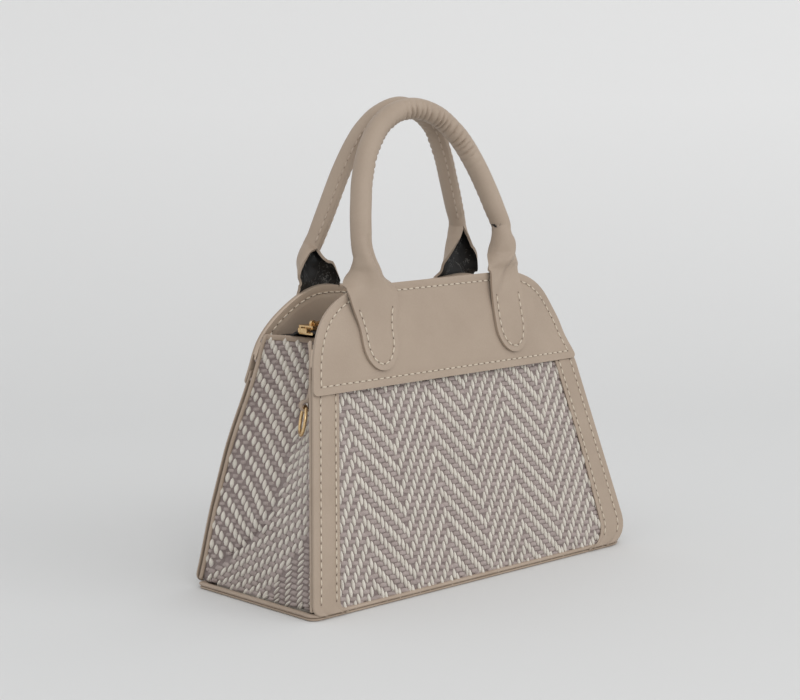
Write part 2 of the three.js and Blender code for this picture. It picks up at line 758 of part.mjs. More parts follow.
// Pull: a long plate with round ends, with an eye round the bridge and a hole near its tip
function pullGeometry() {
  const bar = PULL_THICK / 2;
  const half = PULL_WIDTH / 2;
  const eyeHalf = BRIDGE_WIDTH / 2 + GAP;
  const neck = eyeHalf + PULL_THICK;
  const tip = PULL_LENGTH - half;
  const shape = new THREE.Shape();
  shape.moveTo(-bar, -neck);
  shape.lineTo(PULL_EYE + bar, -neck);
  shape.lineTo(PULL_EYE + half, -half);
  shape.lineTo(tip, -half);
  shape.absarc(tip, 0, half, -Math.PI / 2, Math.PI / 2);
  shape.lineTo(PULL_EYE + half, half);
  shape.lineTo(PULL_EYE + bar, neck);
  shape.lineTo(-bar, neck);
  const eye = new THREE.Path();
  eye.moveTo(bar, -eyeHalf);
  eye.lineTo(PULL_EYE, -eyeHalf);
  eye.lineTo(PULL_EYE, eyeHalf);
  eye.lineTo(bar, eyeHalf);
  const hole = new THREE.Path().absarc(tip, 0, half / 2, 0, 2 * Math.PI);
  shape.holes.push(eye, hole);
  return plate(shape, -PULL_THICK / 2, PULL_THICK / 2);
}

function makeZip() {
  const chain = groupOf();
  for (const [wall, name] of [[FRONT, 'front'], [BACK, 'back']]) {
    const teeth = plate(teethOutline(wall), -TOOTH_HEIGHT / 2, TOOTH_HEIGHT / 2);
    chain.add(piece(`${name}_zip_teeth`, teeth, gold));
  }
  for (const [hand, name] of [[-1, 'left'], [1, 'right']]) {
    const clasp = roundedRectangle(STOP_LENGTH, 2 * chainEdge, STOP_CORNER);
    const stop = piece(`${name}_zip_stop`, plate(clasp, -TOOTH_HEIGHT / 2, TOOTH_HEIGHT / 2), gold);
    stop.position.x = hand * (CHAIN_LENGTH / 2 + GAP + STOP_LENGTH / 2);
    chain.add(stop);
  }
  const slider = piece('zip_slider', sliderGeometry(), gold);
  slider.position.x = sliderX;
  const pull = piece('zip_pull', pullGeometry(), gold);
  pull.position.set(sliderX, 0, pivotHeight);
  chain.add(slider, pull);
  chain.position.set(0, zipY, zipHeight);
  const tapes = [[FRONT, 'front'], [BACK, 'back']].map(([wall, name]) => piece(
    `${name}_zip_tape`, barAlongX(tapeSection(wall), TAPE_LENGTH), blackCloth));
  return groupOf(chain, ...tapes);
}

// Strap rings: a round ring in a leather loop sewn on the front half of each gusset

const ringRadius = (RING_DIAMETER - RING_WIRE) / 2;
const halfTab = RING_TAB_WIDTH / 2;
const loopRadius = RING_WIRE / 2 + GAP + ringRadius - Math.sqrt(ringRadius ** 2 - halfTab ** 2);

// A frame on the front half of a gusset: X level along the cloth, Y up it, Z out of it
function ringFrame(hand) {
  const z = RING_HANGER_HEIGHT;
  const spot = (t, height) => {
    const p = gussetPoint(t, sagged(t, height), 0);
    return new THREE.Vector3(-hand * p.x, p.y, p.z);
  };
  const up = spot(-RING_FROM_FOLD, GUSSET_TOP).sub(spot(-RING_FROM_FOLD, FOLD_START));
  const level = spot(-1, z).sub(spot(0, z)).multiplyScalar(-hand);
  const out = new THREE.Vector3().crossVectors(level, up).normalize();
  const across = level.projectOnPlane(out).normalize();
  const basis = new THREE.Matrix4().makeBasis(
    across, new THREE.Vector3().crossVectors(out, across), out);
  const frame = groupOf();
  frame.quaternion.setFromRotationMatrix(basis);
  frame.position.copy(spot(-RING_FROM_FOLD, z)).addScaledVector(out, RING_STAND_OFF);
  return frame;
}

// The folded strap seen from its side: a loop round the ring, and a sewn tail above it
function ringTabGeometry() {
  const outer = loopRadius + RING_LEATHER;
  const back = RING_TAB_LIFT - RING_STAND_OFF;
  const front = back + 2 * RING_LEATHER;
  const shape = new THREE.Shape();
  shape.moveTo(0, -outer);
  shape.absarc(0, 0, outer, -Math.PI / 2, Math.PI / 2);
  shape.lineTo(front, 2 * outer);
  shape.lineTo(front, RING_TAB_LENGTH);
  shape.lineTo(back, RING_TAB_LENGTH);
  shape.lineTo(back, outer);
  shape.absarc(0, 0, outer, Math.PI, 1.5 * Math.PI);
  shape.holes.push(new THREE.Path().absarc(0, 0, loopRadius, 0, 2 * Math.PI));
  const width = plate(shape, -RING_TAB_WIDTH / 2, RING_TAB_WIDTH / 2);
  return width.rotateY(-Math.PI / 2);
}

function makeRings() {
  const both = groupOf();
  for (const [hand, name] of [[-1, 'left'], [1, 'right']]) {
    const frame = ringFrame(hand);
    const torus = new THREE.TorusGeometry(ringRadius, RING_WIRE / 2, WIRE_SIDES, RING_STEPS);
    const ring = piece(`${name}_ring`, torus, gold);
    ring.position.y = -ringRadius;
    frame.add(piece(`${name}_ring_tab`, ringTabGeometry(), leather), ring);
    both.add(frame);
  }
  return both;
}

const handbag = groupOf(
  makeBase(),
  makeWall(FRONT, 'front'),
  makeWall(BACK, 'back'),
  makeGussets(),
  makeLining(),
  makeZip(),
  makeRings());
handbag.name = 'handbag';

export default handbag;
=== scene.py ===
import json
import math
import random
from bisect import bisect_left

import bmesh
import bpy
from mathutils import Matrix, Vector, noise
from mathutils.geometry import interpolate_bezier


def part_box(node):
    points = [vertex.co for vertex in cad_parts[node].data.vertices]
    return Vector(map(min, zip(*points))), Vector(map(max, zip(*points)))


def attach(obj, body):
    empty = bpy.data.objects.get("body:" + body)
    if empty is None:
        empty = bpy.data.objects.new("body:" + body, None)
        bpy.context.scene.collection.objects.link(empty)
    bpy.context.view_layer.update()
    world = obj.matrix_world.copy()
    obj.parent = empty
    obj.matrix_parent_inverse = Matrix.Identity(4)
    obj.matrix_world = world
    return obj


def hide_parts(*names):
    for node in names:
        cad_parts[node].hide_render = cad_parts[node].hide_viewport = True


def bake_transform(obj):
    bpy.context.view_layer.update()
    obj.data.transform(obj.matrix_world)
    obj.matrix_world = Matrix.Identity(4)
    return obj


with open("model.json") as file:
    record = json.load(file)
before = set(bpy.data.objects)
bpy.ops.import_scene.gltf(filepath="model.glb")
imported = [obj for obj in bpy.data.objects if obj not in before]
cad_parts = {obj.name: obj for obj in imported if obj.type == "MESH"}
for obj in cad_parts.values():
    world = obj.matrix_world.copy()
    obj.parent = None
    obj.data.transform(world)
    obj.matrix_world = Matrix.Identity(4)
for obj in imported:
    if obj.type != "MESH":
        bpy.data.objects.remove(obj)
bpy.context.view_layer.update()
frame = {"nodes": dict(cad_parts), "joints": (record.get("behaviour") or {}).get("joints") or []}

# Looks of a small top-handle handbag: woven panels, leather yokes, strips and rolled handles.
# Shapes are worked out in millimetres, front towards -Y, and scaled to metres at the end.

luck = random.Random(7)

# Sizes of the bag

MM = 0.001
GAP = 0.3
TINY = 1e-6
base_low, base_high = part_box("base_binding")
BASE_WIDTH = (base_high.x - base_low.x) / MM
BASE_DEPTH = (base_high.y - base_low.y) / MM
BODY_HEIGHT = 168
FOOT_Z = base_high.z / MM + GAP
SIDE_TAPER = math.radians(11.4)
FRONT_LEAN = math.radians(12.2)
BACK_LEAN = math.radians(10.5)
TOP_CORNER = 50
FOOT_CORNER = 6
SOFT_FOOT_CORNER = 16

# Corners of the base, by right and back: the angle at which each turn starts, and its radius

BASE_CORNERS = {
    (1, -1): (-90, SOFT_FOOT_CORNER),
    (1, 1): (0, 8),
    (-1, 1): (90, 3.5),
    (-1, -1): (180, 6),
}

# Layers of the base's edge: inset, height of the middle, half the height and half the depth

LOWER_EDGE = (0.9, 0.85, 0.85, 1.9)
UPPER_EDGE = (0.4, 2.75, 1.08, 1.7)
EDGE_UNEVEN = 0.12
EDGE_LOWEST = 0.02

# Plates of the base: inset and height of the lower face, and thickness

BASE_PANEL_PLACE = (2.5, 0.35)
BASE_PANEL_THICK = 1.4
BASE_BOARD_PLACE = (5, 2)
BASE_BOARD_THICK = 1.5

# Layers of a wall, measured outwards from the face of the woven panel

CLOTH_BACK = -1.2
STRIP_FACE = 1.3
FACING_FACE = 1.5
FACING_BACK = 0.1
YOKE_FACE = 2.9
YOKE_THICK = 1.4
YOKE_UNEVEN = 0.35
STRIP_THICK = 1.1
STIFFENER_THICK = 1
WALL_FOOT_Y = BASE_DEPTH / 2 - STRIP_FACE

# Panels of a wall

YOKE_LOW = 113.4
YOKE_LOW_CORNER = 3.5
YOKE_OVERHANG = 0.9
STRIP_WIDTH = 17
STRIP_TOP = 122
STRIP_FOOT = 2.4
STRIP_TURN = 0.8
STRIP_SIDE = 0.6
STRIP_PUFF = 0.35
PANEL_TOP = 130
FACING_LOW = 138
STIFFENER_INSET = 8

# How much wider than its section each side strip lies, at its top and at its foot

STRIP_SPREAD = {
    "front": {-1: (1.08, 1.08), 1: (1, 1.18)},
    "back": {-1: (1, 1), 1: (1, 1)},
}

# Stitches, and the seams they make

STITCH_PITCH = 4.5
STITCH_LENGTH = 3.6
STITCH_THICK = 0.95
STITCH_LIFT = 0.18
STITCH_TURN = 0.07
STITCH_UNEVEN = (0.93, 1.05)
STITCH_HOLE = 0.48
HOLE_NARROW = 0.8
HOLE_DEPTH = 0.12
YOKE_SEAM = 4.4
STRIP_OUTER_SEAM = 4.7
STRIP_INNER_SEAM = STRIP_WIDTH - 2.6
SEAM_STEP = 3
SEAM_GROOVE = 0.35
SEAM_GROOVE_WIDTH = 1.5

# Weave: herringbone columns of warp floats with weft floats between them, on slightly skewed cloth

WARP_PITCH = 2.44
WARP_REPEAT = 11.44
COLUMN_STEP = 0.272
CHEVRON_COLUMNS = 12
FRONT_PEAK_X = -79
FIRST_FLOAT = 5.25
LOWEST_FLOAT = 2.4
CLOTH_SKEW = 0.115
WEFT_DIP = 0.08
CLOTH_GROUND = -0.75
CLOTH_ROLL = 9
CLOTH_TUCK = 0.7
CLOTH_INSET = 7
YARN_TURN = 0.08
YARN_UNEVEN = (0.94, 1.04)
YARN_HEIGHTS = (0.85, 1.05)

# Zip tapes hang between the teeth and the facings

TAPE_SAG = 4.5
TAPE_WAVE = 0.35
TAPE_SEWN = 0.4
TAPE_THICK = 0.7

# Side gussets, and the lining that follows them

GUSSET_TOP = 141.5
GUSSET_FOOT = FOOT_Z - 1.7
GUSSET_SAG = 4
GUSSET_RECESS = 3.9
GUSSET_WAVE = 0.9
GUSSET_THICK = 0.5
GUSSET_BACK = 1.2
BACK_EDGE_LIFT = 2.6
FOLD_START = 45
FOLD_DEPTH = 27
FOLD_ROUND = 0.1
CREASE_DEPTH = 3.4
CREASE_REACH = 0.16
CREASE_LIP = 0.8
CREASE_LIP_REACH = 0.2
PIPING_RADIUS = 1.15
PIPING_UNEVEN = 0.15
BINDING_DROP = 2.2
BINDING_HALF = 1.2
LINING_INSET = 4.2
LINING_REACH = 0.86
LINING_THICK = 0.5

# The gusset's crease, from its lower back corner to its middle: heights and places across

CREASE_LINE = (
    (5, 0.99), (9, 0.93), (16.8, 0.71), (25.5, 0.42), (37, 0.11), (50, -0.06), (67, -0.09), (90, 0),
)

# Weave of the parts of a gusset: place of a float from the fold and up, step to the next column,
# step of a repeat, direction of the floats, whether the columns' floats run down or up, and the columns

GUSSET_WEAVES = {
    "back": ((30, 110.5), (-2.83, 0.17), (0, 10.7), (0.14, 1), 1, range(-10, 45)),
    "front": ((-30.6, 36.1), (-2.75, -0.3), (-8.5, 10.2), (-0.45, 1), -1, range(-50, 1)),
    "corner": ((-30.6, 36.1), (-2.75, -0.3), (-8.5, 10.2), (-0.7, 0.72), 1, range(1, 30)),
}
GUSSET_REPEATS = range(-30, 30)
FAN_EDGE = 34
FAN_LEVEL = 84
FAN_RATE = 0.0075
FAN_WIDEST = 1.16
CREASE_CLEAR = 0.02
FLOAT_EDGE = 0.985
FOOT_FLOAT_EDGE = 0.92
FOOT_FLOAT_HEIGHT = 4

# Handles

HANDLE_HEIGHT = 95
HANDLE_LEATHER = 1.5
HANDLE_MEETING = 7.6
TUBE_RADIUS = 6
TUBE_SLIT = 0.1
TUBE_SEAM = 2.4
TUBE_SEAM_START = 5
TUBE_STITCH_LIFT = 0.02
TUBE_STITCH_HOLE = 0.25
PIVOT_RISE = 1.6
TAB_MIDDLE = 3.95
TAB_LENGTH = 49
TAB_POINT = 17
TAB_STRAIGHT = TAB_LENGTH - TAB_POINT
TAB_END_WIDTH = 25.5
TAB_SEAM = 3.6
TAB_SEAM_TOP = 15
TAB_EDGE_RAISE = 1.3
CORD_RADIUS = 3.2
CORD_INSET = 2
BEND_RADIUS = {"front": 5.2, "back": 4.6}
FLATTEST_ROLL = 0.002
NECK_PINCH = 0.08
NECK_UNEVEN = 0.35
NECK_TURN_HEIGHT = 22
NECK_SHOULDER_HEIGHT = 14
NECK_SAG_HEIGHT = 40
CROWN_START = 40
WRINKLE_DEPTH = 2.4
WRINKLE_PITCH = 4

# Middle line of each handle: places across, and heights over its pivot

HANDLE_LINES = {
    "front": (
        (-51, 0), (-51.2, 6), (-53.2, 11), (-54.6, 16), (-54.6, 21), (-53.6, 27), (-52.1, 36), (-50, 45),
        (-47.7, 54), (-42.5, 67), (-37.3, 75.5), (-28.5, 85.4), (-16, 92.6), (0, 95), (15.9, 90.5),
        (27.3, 81.6), (34.6, 72.8), (42.1, 59.3), (48, 45), (51.3, 35.4), (54.4, 26), (53.9, 22),
        (53.7, 18), (54, 12), (53.8, 8), (52, 4), (50.3, 0),
    ),
    "back": (
        (-57.4, 0), (-60.6, 5), (-63.5, 10), (-63.2, 14.5), (-60.5, 19), (-56.8, 26), (-50.8, 39),
        (-46.9, 48), (-43, 56.7), (-38.4, 65.5), (-33, 74.3), (-26.6, 82.3), (-16, 90.4), (-1, 95),
        (14, 92), (22.4, 87), (28.4, 81), (33.7, 71.4), (37.6, 62.9), (41.1, 53.4), (44.7, 43.7),
        (48.2, 34), (51.2, 26.5), (51.3, 20), (50.2, 14), (50.2, 8), (51, 0),
    ),
}

# Each leg: width of its flat strip, place of its tab's end, and how far it is rolled by height

LEGS = {
    "front": {
        -1: (34.5, -51.8, (
            (-7, 0), (-2, 0.13), (1, 0.28), (3.5, 0.42), (6, 0.55), (10, 0.76), (15, 1))),
        1: (22.5, 50.6, (
            (-4, 0), (0, 0.1), (4, 0.34), (8, 0.52), (12, 0.68), (17, 0.86), (22, 1))),
    },
    "back": {
        -1: (33, -50, (
            (-8, 0), (-3, 0.14), (1, 0.17), (4.5, 0.22), (9, 0.36), (13, 0.56), (16, 0.7), (18.5, 1))),
        1: (32, 50, (
            (-2.5, 0), (1, 0.17), (6, 0.25), (11, 0.42), (16, 0.64), (20.5, 0.82), (25, 1))),
    },
}

# Folds of the soft necks: both ends as places across and heights, then height and width

NECK_FOLDS = {
    ("front", -1): (
        ((0.5, 24), (5, 3), -1.2, 1.4), ((4, 22), (8.5, 6), 0.8, 1.8), ((-3, 20), (-1, 0), 0.8, 2.4)),
    ("front", 1): (((7, 20), (-7, -11), 1.2, 2.4), ((9, 12), (-3, -12), -0.9, 2)),
    ("back", -1): (((-3, 20), (-9, 4), 0.6, 2.5),),
    ("back", 1): (((-4, 25), (-9, 6), 0.7, 2.5),),
}

# Shoulders: how far each turns inwards, the stretches across and up over which that grows, and the
# stretch up over which it dies away

EVEN_SHOULDER = ((45, 85), (132, 160), (180, 190))
SHOULDER_TURN = {
    "front": {-1: (2.5, *EVEN_SHOULDER), 1: (5, (56, 93), (108, 131), (140, 168))},
    "back": {-1: (2.8, *EVEN_SHOULDER), 1: (2, *EVEN_SHOULDER)},
}

# The back wall bulges low down and sags at its top

BACK_BULGE = 5
BULGE_GROWS = (0, 45)
BULGE_FADES = (70, 125)
BACK_SAG = 5.5
SAG_MIDDLE = 12
SAG_WIDTH = 58
SAG_START = 118


class Wall:
    """A leaning wall: x across, up along its slope, out along its outward normal."""

    def __init__(self, name, side, lean, bulge=0, sag=0):
        self.name = name
        self.bulge = bulge
        self.sag = sag
        self.side = side
        self.sin = math.sin(lean)
        self.cos = math.cos(lean)
        self.tan = math.tan(lean)
        self.taper = math.atan(math.tan(SIDE_TAPER) * self.cos)
        self.top = self.up_at(BODY_HEIGHT)
        self.arc_up = self.top - TOP_CORNER
        self.arc_x = self.straight_edge(self.arc_up) - TOP_CORNER / math.cos(self.taper)
        self.normal = Vector((0, side * self.cos, self.sin))
        self.rise = Vector((0, -side * self.sin, self.cos))

    def up_at(self, z):
        return (z - FOOT_Z) / self.cos

    def at(self, x, up, out):
        out += self.bulge_at(up) - self.turn_at(x, up)
        y = WALL_FOOT_Y - up * self.sin + out * self.cos
        z = FOOT_Z + up * self.cos + out * self.sin
        return Vector((x, self.side * y, z - self.sag_at(x, z)))

    def y_at(self, z, out, x=0):
        up = self.up_at(z)
        out += self.bulge_at(up) - self.turn_at(x, up)
        return self.side * (WALL_FOOT_Y - (z - FOOT_Z) * self.tan + out / self.cos)

    def bulge_at(self, up):
        return self.bulge * mix(0.5, 1, smooth_step(up, *BULGE_GROWS)) * fade(up, *BULGE_FADES)

    def turn_at(self, x, up):
        """How far the shoulders of a soft yoke turn inwards."""
        turn, across, rise, fall = SHOULDER_TURN[self.name][-1 if x < 0 else 1]
        return turn * smooth_step(abs(x), *across) * smooth_step(up, *rise) * fade(up, *fall)

    def sag_at(self, x, z):
        return self.sag * bell(x, SAG_MIDDLE, SAG_WIDTH) * smooth_step(z, SAG_START, BODY_HEIGHT)

    def straight_edge(self, up):
        return side_x(FOOT_Z + up * self.cos)

    def half_width(self, up, inset=0):
        over = up - self.arc_up
        radius = TOP_CORNER - inset
        if over <= radius * math.sin(self.taper):
            return self.straight_edge(up) - inset / math.cos(self.taper)
        return self.arc_x + math.sqrt(max(0, radius ** 2 - over ** 2))

    def edge_distance(self, x, up):
        """Distance of a point from the side and top edges of the wall."""
        side = (self.straight_edge(up) - abs(x)) * math.cos(self.taper)
        beyond = Vector((abs(x) - self.arc_x, up - self.arc_up))
        if beyond.x > 0 and beyond.y > beyond.x * math.tan(self.taper):
            return TOP_CORNER - beyond.length
        return min(side, self.top - up)


def side_x(z):
    """Half the body's width at a height."""
    return BASE_WIDTH / 2 - math.tan(SIDE_TAPER) * z


def mix(a, b, share):
    return a + (b - a) * share


def smooth_step(value, low, high):
    share = min(1, max(0, (value - low) / (high - low)))
    return share * share * (3 - 2 * share)


def fade(value, low, high):
    return 1 - smooth_step(value, low, high)


def bell(value, middle, width):
    return math.exp(-((value - middle) / width) ** 2)


def between(rows, value):
    """Smooth reading between rows of an increasing place and a value."""
    if value <= rows[0][0]:
        return rows[0][1]
    if value >= rows[-1][0]:
        return rows[-1][1]
    k = next(i for i in range(len(rows) - 1) if value <= rows[i + 1][0])
    (a, first), (b, second) = rows[k], rows[k + 1]
    before = rows[max(0, k - 1)]
    after = rows[min(len(rows) - 1, k + 2)]
    rise = (second - before[1]) / (b - before[0]) * (b - a)
    fall = (after[1] - first) / (after[0] - a) * (b - a)
    t = (value - a) / (b - a)
    return ((1 + 2 * t) * (1 - t) ** 2 * first + t * (1 - t) ** 2 * rise
            + t * t * (3 - 2 * t) * second + t * t * (t - 1) * fall)


def spread(low, high, step):
    """Values from low to high, about a step apart."""
    count = max(1, round(abs(high - low) / step))
    return [mix(low, high, k / count) for k in range(count + 1)]


def shares_of(columns):
    """Places from -1 to 1 for a number of columns."""
    return spread(-1, 1, 2 / columns)


def measured(points):
    """Distances along a line of points."""
    lengths = [0]
    for a, b in zip(points, points[1:]):
        lengths.append(lengths[-1] + (b - a).length)
    return lengths


def step_at(lengths, distance):
    """The step of a measured line that holds a distance, and the share of that step before it."""
    k = min(max(0, bisect_left(lengths, distance) - 1), len(lengths) - 2)
    return k, (distance - lengths[k]) / max(TINY, lengths[k + 1] - lengths[k])


FRONT = Wall("front", -1, FRONT_LEAN)
BACK = Wall("back", 1, BACK_LEAN, BACK_BULGE, BACK_SAG)


# Finishes

class Finish:
    """A material, made of nodes that lead to its shader."""

    def __init__(self, name):
        self.material = bpy.data.materials.new(name)
        self.material.use_nodes = True
        self.tree = self.material.node_tree

    def fill(self, node, inputs):
        """Sets a node's inputs to values, or links them from sockets."""
        for key, value in inputs.items():
            if isinstance(value, bpy.types.NodeSocket):
                self.tree.links.new(value, node.inputs[key])
            else:
                node.inputs[key].default_value = value

    def add(self, kind, inputs, output, **settings):
        """Adds a node with its settings and inputs, and gives one of its outputs."""
        node = self.tree.nodes.new(kind)
        for key, value in settings.items():
            setattr(node, key, value)
        self.fill(node, inputs)
        return node.outputs[output]

    def millimetres(self, stretch=(1, 1, 1)):
        """Object coordinates in millimetres, stretched along the axes."""
        place = self.add("ShaderNodeTexCoord", {}, "Object")
        scale = [share / MM for share in stretch]
        return self.add("ShaderNodeMapping", {"Vector": place, "Scale": scale}, "Vector")

    def noise_at(self, where, scale, detail=3, roughness=0.5, distortion=0):
        inputs = {"Vector": where, "Scale": scale, "Detail": detail,
                  "Roughness": roughness, "Distortion": distortion}
        return self.add("ShaderNodeTexNoise", inputs, "Fac")

    def wave_at(self, where, scale, direction, distortion, detail=2):
        inputs = {"Vector": where, "Scale": scale, "Distortion": distortion, "Detail": detail}
        return self.add("ShaderNodeTexWave", inputs, "Fac", bands_direction=direction)

    def spread_to(self, value, low, high, from_low=0.3, from_high=0.7):
        inputs = {"Value": value, "From Min": from_low, "From Max": from_high, "To Min": low, "To Max": high}
        return self.add("ShaderNodeMapRange", inputs, "Result")

    def two_tones(self, value, first, second):
        """A colour between two; a mixing node knows its colour sockets by number."""
        inputs = {"Factor": value, 6: (*first, 1), 7: (*second, 1)}
        return self.add("ShaderNodeMix", inputs, 2, data_type="RGBA")

    def summed(self, first, second, share):
        """The first value with a share of the second."""
        return self.add("ShaderNodeMath", {0: second, 1: share, 2: first}, 0, operation="MULTIPLY_ADD")

    def bumps(self, height, depth, strength):
        inputs = {"Height": height, "Distance": depth * MM, "Strength": strength}
        return self.add("ShaderNodeBump", inputs, "Normal")

    def painted(self, looks):
        """The finished material, with its shader's looks."""
        self.fill(self.tree.nodes["Principled BSDF"], looks)
        return self.material


def grained_leather(name, light, dark):
    """Smooth taupe leather with a fine pebble grain and cloudy tone."""
    finish = Finish(name)
    where = finish.millimetres()
    flecks = finish.noise_at(where, 0.9)
    tone = finish.summed(finish.noise_at(where, 0.035, 4), flecks, 0.25)
    pebbles = {"Vector": where, "Scale": 1.15, "Smoothness": 0.6}
    grain = finish.add("ShaderNodeTexVoronoi", pebbles, "Distance", feature="SMOOTH_F1")
    height = finish.summed(grain, finish.noise_at(where, 4, 2), 0.35)
    return finish.painted({
        "Base Color": finish.two_tones(finish.spread_to(tone, 0, 1, 0.42, 0.83), light, dark),
        "Roughness": finish.spread_to(flecks, 0.45, 0.57),
        "Specular IOR Level": 0.4,
        "Normal": finish.bumps(height, 0.06, 0.55)})


def spun_yarn(name, light, dark, stretch):
    """Soft spun yarn: fibres drawn along the yarn, with an uneven tone."""
    finish = Finish(name)
    fibres = finish.noise_at(finish.millimetres(stretch), 2.2, 4, 0.65, 0.6)
    tone = finish.summed(finish.noise_at(finish.millimetres(), 0.24, 2), fibres, 0.8)
    return finish.painted({
        "Base Color": finish.two_tones(finish.spread_to(tone, 0, 1, 0.6, 1.2), dark, light),
        "Roughness": 0.85,
        "Specular IOR Level": 0.2,
        "Sheen Weight": 0.15,
        "Normal": finish.bumps(fibres, 0.16, 0.8)})


def dark_cloth(name, light, dark, ribs, roughness):
    """Plain black cloth with fine crossing threads."""
    finish = Finish(name)
    where = finish.millimetres()
    warp = finish.wave_at(where, ribs, "X", 0.6, 1)
    weft = finish.wave_at(where, ribs, "Z", 0.6, 1)
    dust = finish.noise_at(where, 0.12, 5, 0.6)
    return finish.painted({
        "Base Color": finish.two_tones(finish.spread_to(dust, 0, 1, 0.4, 0.75), dark, light),
        "Roughness": roughness,
        "Normal": finish.bumps(finish.summed(warp, weft, 1), 0.12, 0.6)})


def creased_backing():
    """Black coated backing of the handle strip, with pale streaks along its creases that are painted
    highlights.
    """
    finish = Finish("creased_backing")
    folds = finish.noise_at(finish.millimetres((1, 1, 0.45)), 0.11, 5, 0.6, 1.2)
    ridge = finish.add("ShaderNodeMath", {0: folds, 1: 0.5}, 0, operation="PINGPONG")
    # Pale streaks along the creases: painted highlights of the wrinkles
    crease = finish.spread_to(ridge, 0, 1, 0.493, 0.4995)
    return finish.painted({
        "Base Color": finish.two_tones(crease, (0.009, 0.009, 0.009), (0.2, 0.2, 0.19)),
        "Roughness": finish.spread_to(folds, 0.38, 0.6),
        "Normal": finish.bumps(folds, 0.9, 0.8)})


def twisted_thread(name, light, dark):
    """Sewing thread with its twist."""
    finish = Finish(name)
    where = finish.millimetres()
    twist = finish.wave_at(where, 1.1, "DIAGONAL", 1)
    return finish.painted({
        "Base Color": finish.two_tones(finish.noise_at(where, 0.5, 2), light, dark),
        "Roughness": 0.7,
        "Normal": finish.bumps(twist, 0.12, 0.7)})


def dull_matter(name, detail, light, dark):
    """The painted shade of a needle hole, and the grey board hidden inside the bag."""
    finish = Finish(name)
    tone = finish.noise_at(finish.millimetres(), 0.8, detail)
    return finish.painted({"Base Color": finish.two_tones(tone, light, dark), "Roughness": 0.9})


def pale_gold():
    """Polished plating with faint rubbing marks."""
    finish = Finish("pale_gold")
    marks = finish.noise_at(finish.millimetres(), 0.7, 4, 0.6)
    tone = finish.spread_to(marks, 0, 1)
    return finish.painted({
        "Base Color": finish.two_tones(tone, (0.85, 0.62, 0.34), (0.74, 0.5, 0.25)),
        "Roughness": finish.spread_to(marks, 0.16, 0.3),
        "Metallic": 1,
        "Normal": finish.bumps(marks, 0.02, 0.3)})


def pale_paper():
    """The floor's paper, with painted light: lighter where it rises into the backdrop."""
    finish = Finish("pale_paper")
    height = finish.add("ShaderNodeSeparateXYZ", {"Vector": finish.millimetres()}, "Z")
    # Painted light: the paper's tone grows lighter with height
    tone = finish.spread_to(height, 0, 1, 0, BACKDROP_LIGHT_FROM)
    return finish.painted({
        "Base Color": finish.two_tones(tone, FLOOR_TONE, PAINTED_LIGHT_BACKDROP_TONE),
        "Roughness": 0.85,
        "Specular IOR Level": 0.15})


LEATHER = grained_leather("taupe_leather", (0.415, 0.329, 0.256), (0.38, 0.298, 0.23))
# The facing leather is painted lighter than the yoke's leather: painted light on the inside of the bag
PAINTED_LIGHT_FACING_LEATHER = grained_leather("facing_leather", (0.56, 0.45, 0.352), (0.51, 0.403, 0.315))
EDGE_LEATHER = grained_leather("edge_leather", (0.45, 0.36, 0.285), (0.38, 0.295, 0.225))
CREAM_YARN = spun_yarn("cream_yarn", (0.78, 0.738, 0.665), (0.63, 0.59, 0.525), (1.6, 1.6, 0.35))
TAUPE_YARN = spun_yarn("taupe_yarn", (0.455, 0.387, 0.365), (0.32, 0.263, 0.246), (0.35, 0.6, 1.6))
GROUND_YARN = spun_yarn("ground_yarn", (0.29, 0.238, 0.226), (0.215, 0.172, 0.162), (1, 1, 1))
BLACK_CLOTH = dark_cloth("black_cloth", (0.022, 0.021, 0.022), (0.01, 0.01, 0.01), 1.4, 0.75)
ZIP_CLOTH = dark_cloth("zip_cloth", (0.03, 0.03, 0.032), (0.012, 0.012, 0.013), 0.9, 0.5)
BACKING = creased_backing()
THREAD = twisted_thread("pale_thread", (0.74, 0.66, 0.54), (0.62, 0.53, 0.42))
# The tube seams' thread is painted darker than the pale thread: painted shade
SHADED_THREAD = twisted_thread("taupe_thread", (0.56, 0.46, 0.37), (0.48, 0.39, 0.31))
# Needle holes are painted dark: painted shade inside the holes
HOLE = dull_matter("stitch_hole", 2, (0.21, 0.16, 0.122), (0.14, 0.106, 0.08))
GOLD = pale_gold()
BOARD = dull_matter("pressed_board", 4, (0.3, 0.27, 0.23), (0.2, 0.18, 0.16))


# Mesh helpers

def grid_sheet(columns, rows, place):
    """A grid whose points are put in place by a function of their column and row values."""
    bm = bmesh.new()
    bmesh.ops.create_grid(bm, x_segments=len(columns) - 1, y_segments=len(rows) - 1, size=1)
    for vert in bm.verts:
        column = columns[round((vert.co.x + 1) / 2 * (len(columns) - 1))]
        row = rows[round((vert.co.y + 1) / 2 * (len(rows) - 1))]
        vert.co = place(column, row)
    return bm


def close_seams(bm, distance=0.002):
    bmesh.ops.remove_doubles(bm, verts=bm.verts, dist=distance)
    return bm


def face_along(bm, direction):
    """Turns a sheet so that most of its area faces along a direction."""
    bm.normal_update()
    facing = sum(face.normal.dot(direction) * face.calc_area() for face in bm.faces)
    if facing < 0:
        bmesh.ops.reverse_faces(bm, faces=bm.faces)
    return bm


def face_out(bm):
    bmesh.ops.recalc_face_normals(bm, faces=bm.faces)
    return bm


def close_roll(bm):
    """Closes a sheet that is rolled up: merges its meeting edges and fills its ends."""
    close_seams(bm)
    bmesh.ops.holes_fill(bm, edges=bm.edges, sides=0)
    return face_out(bm)


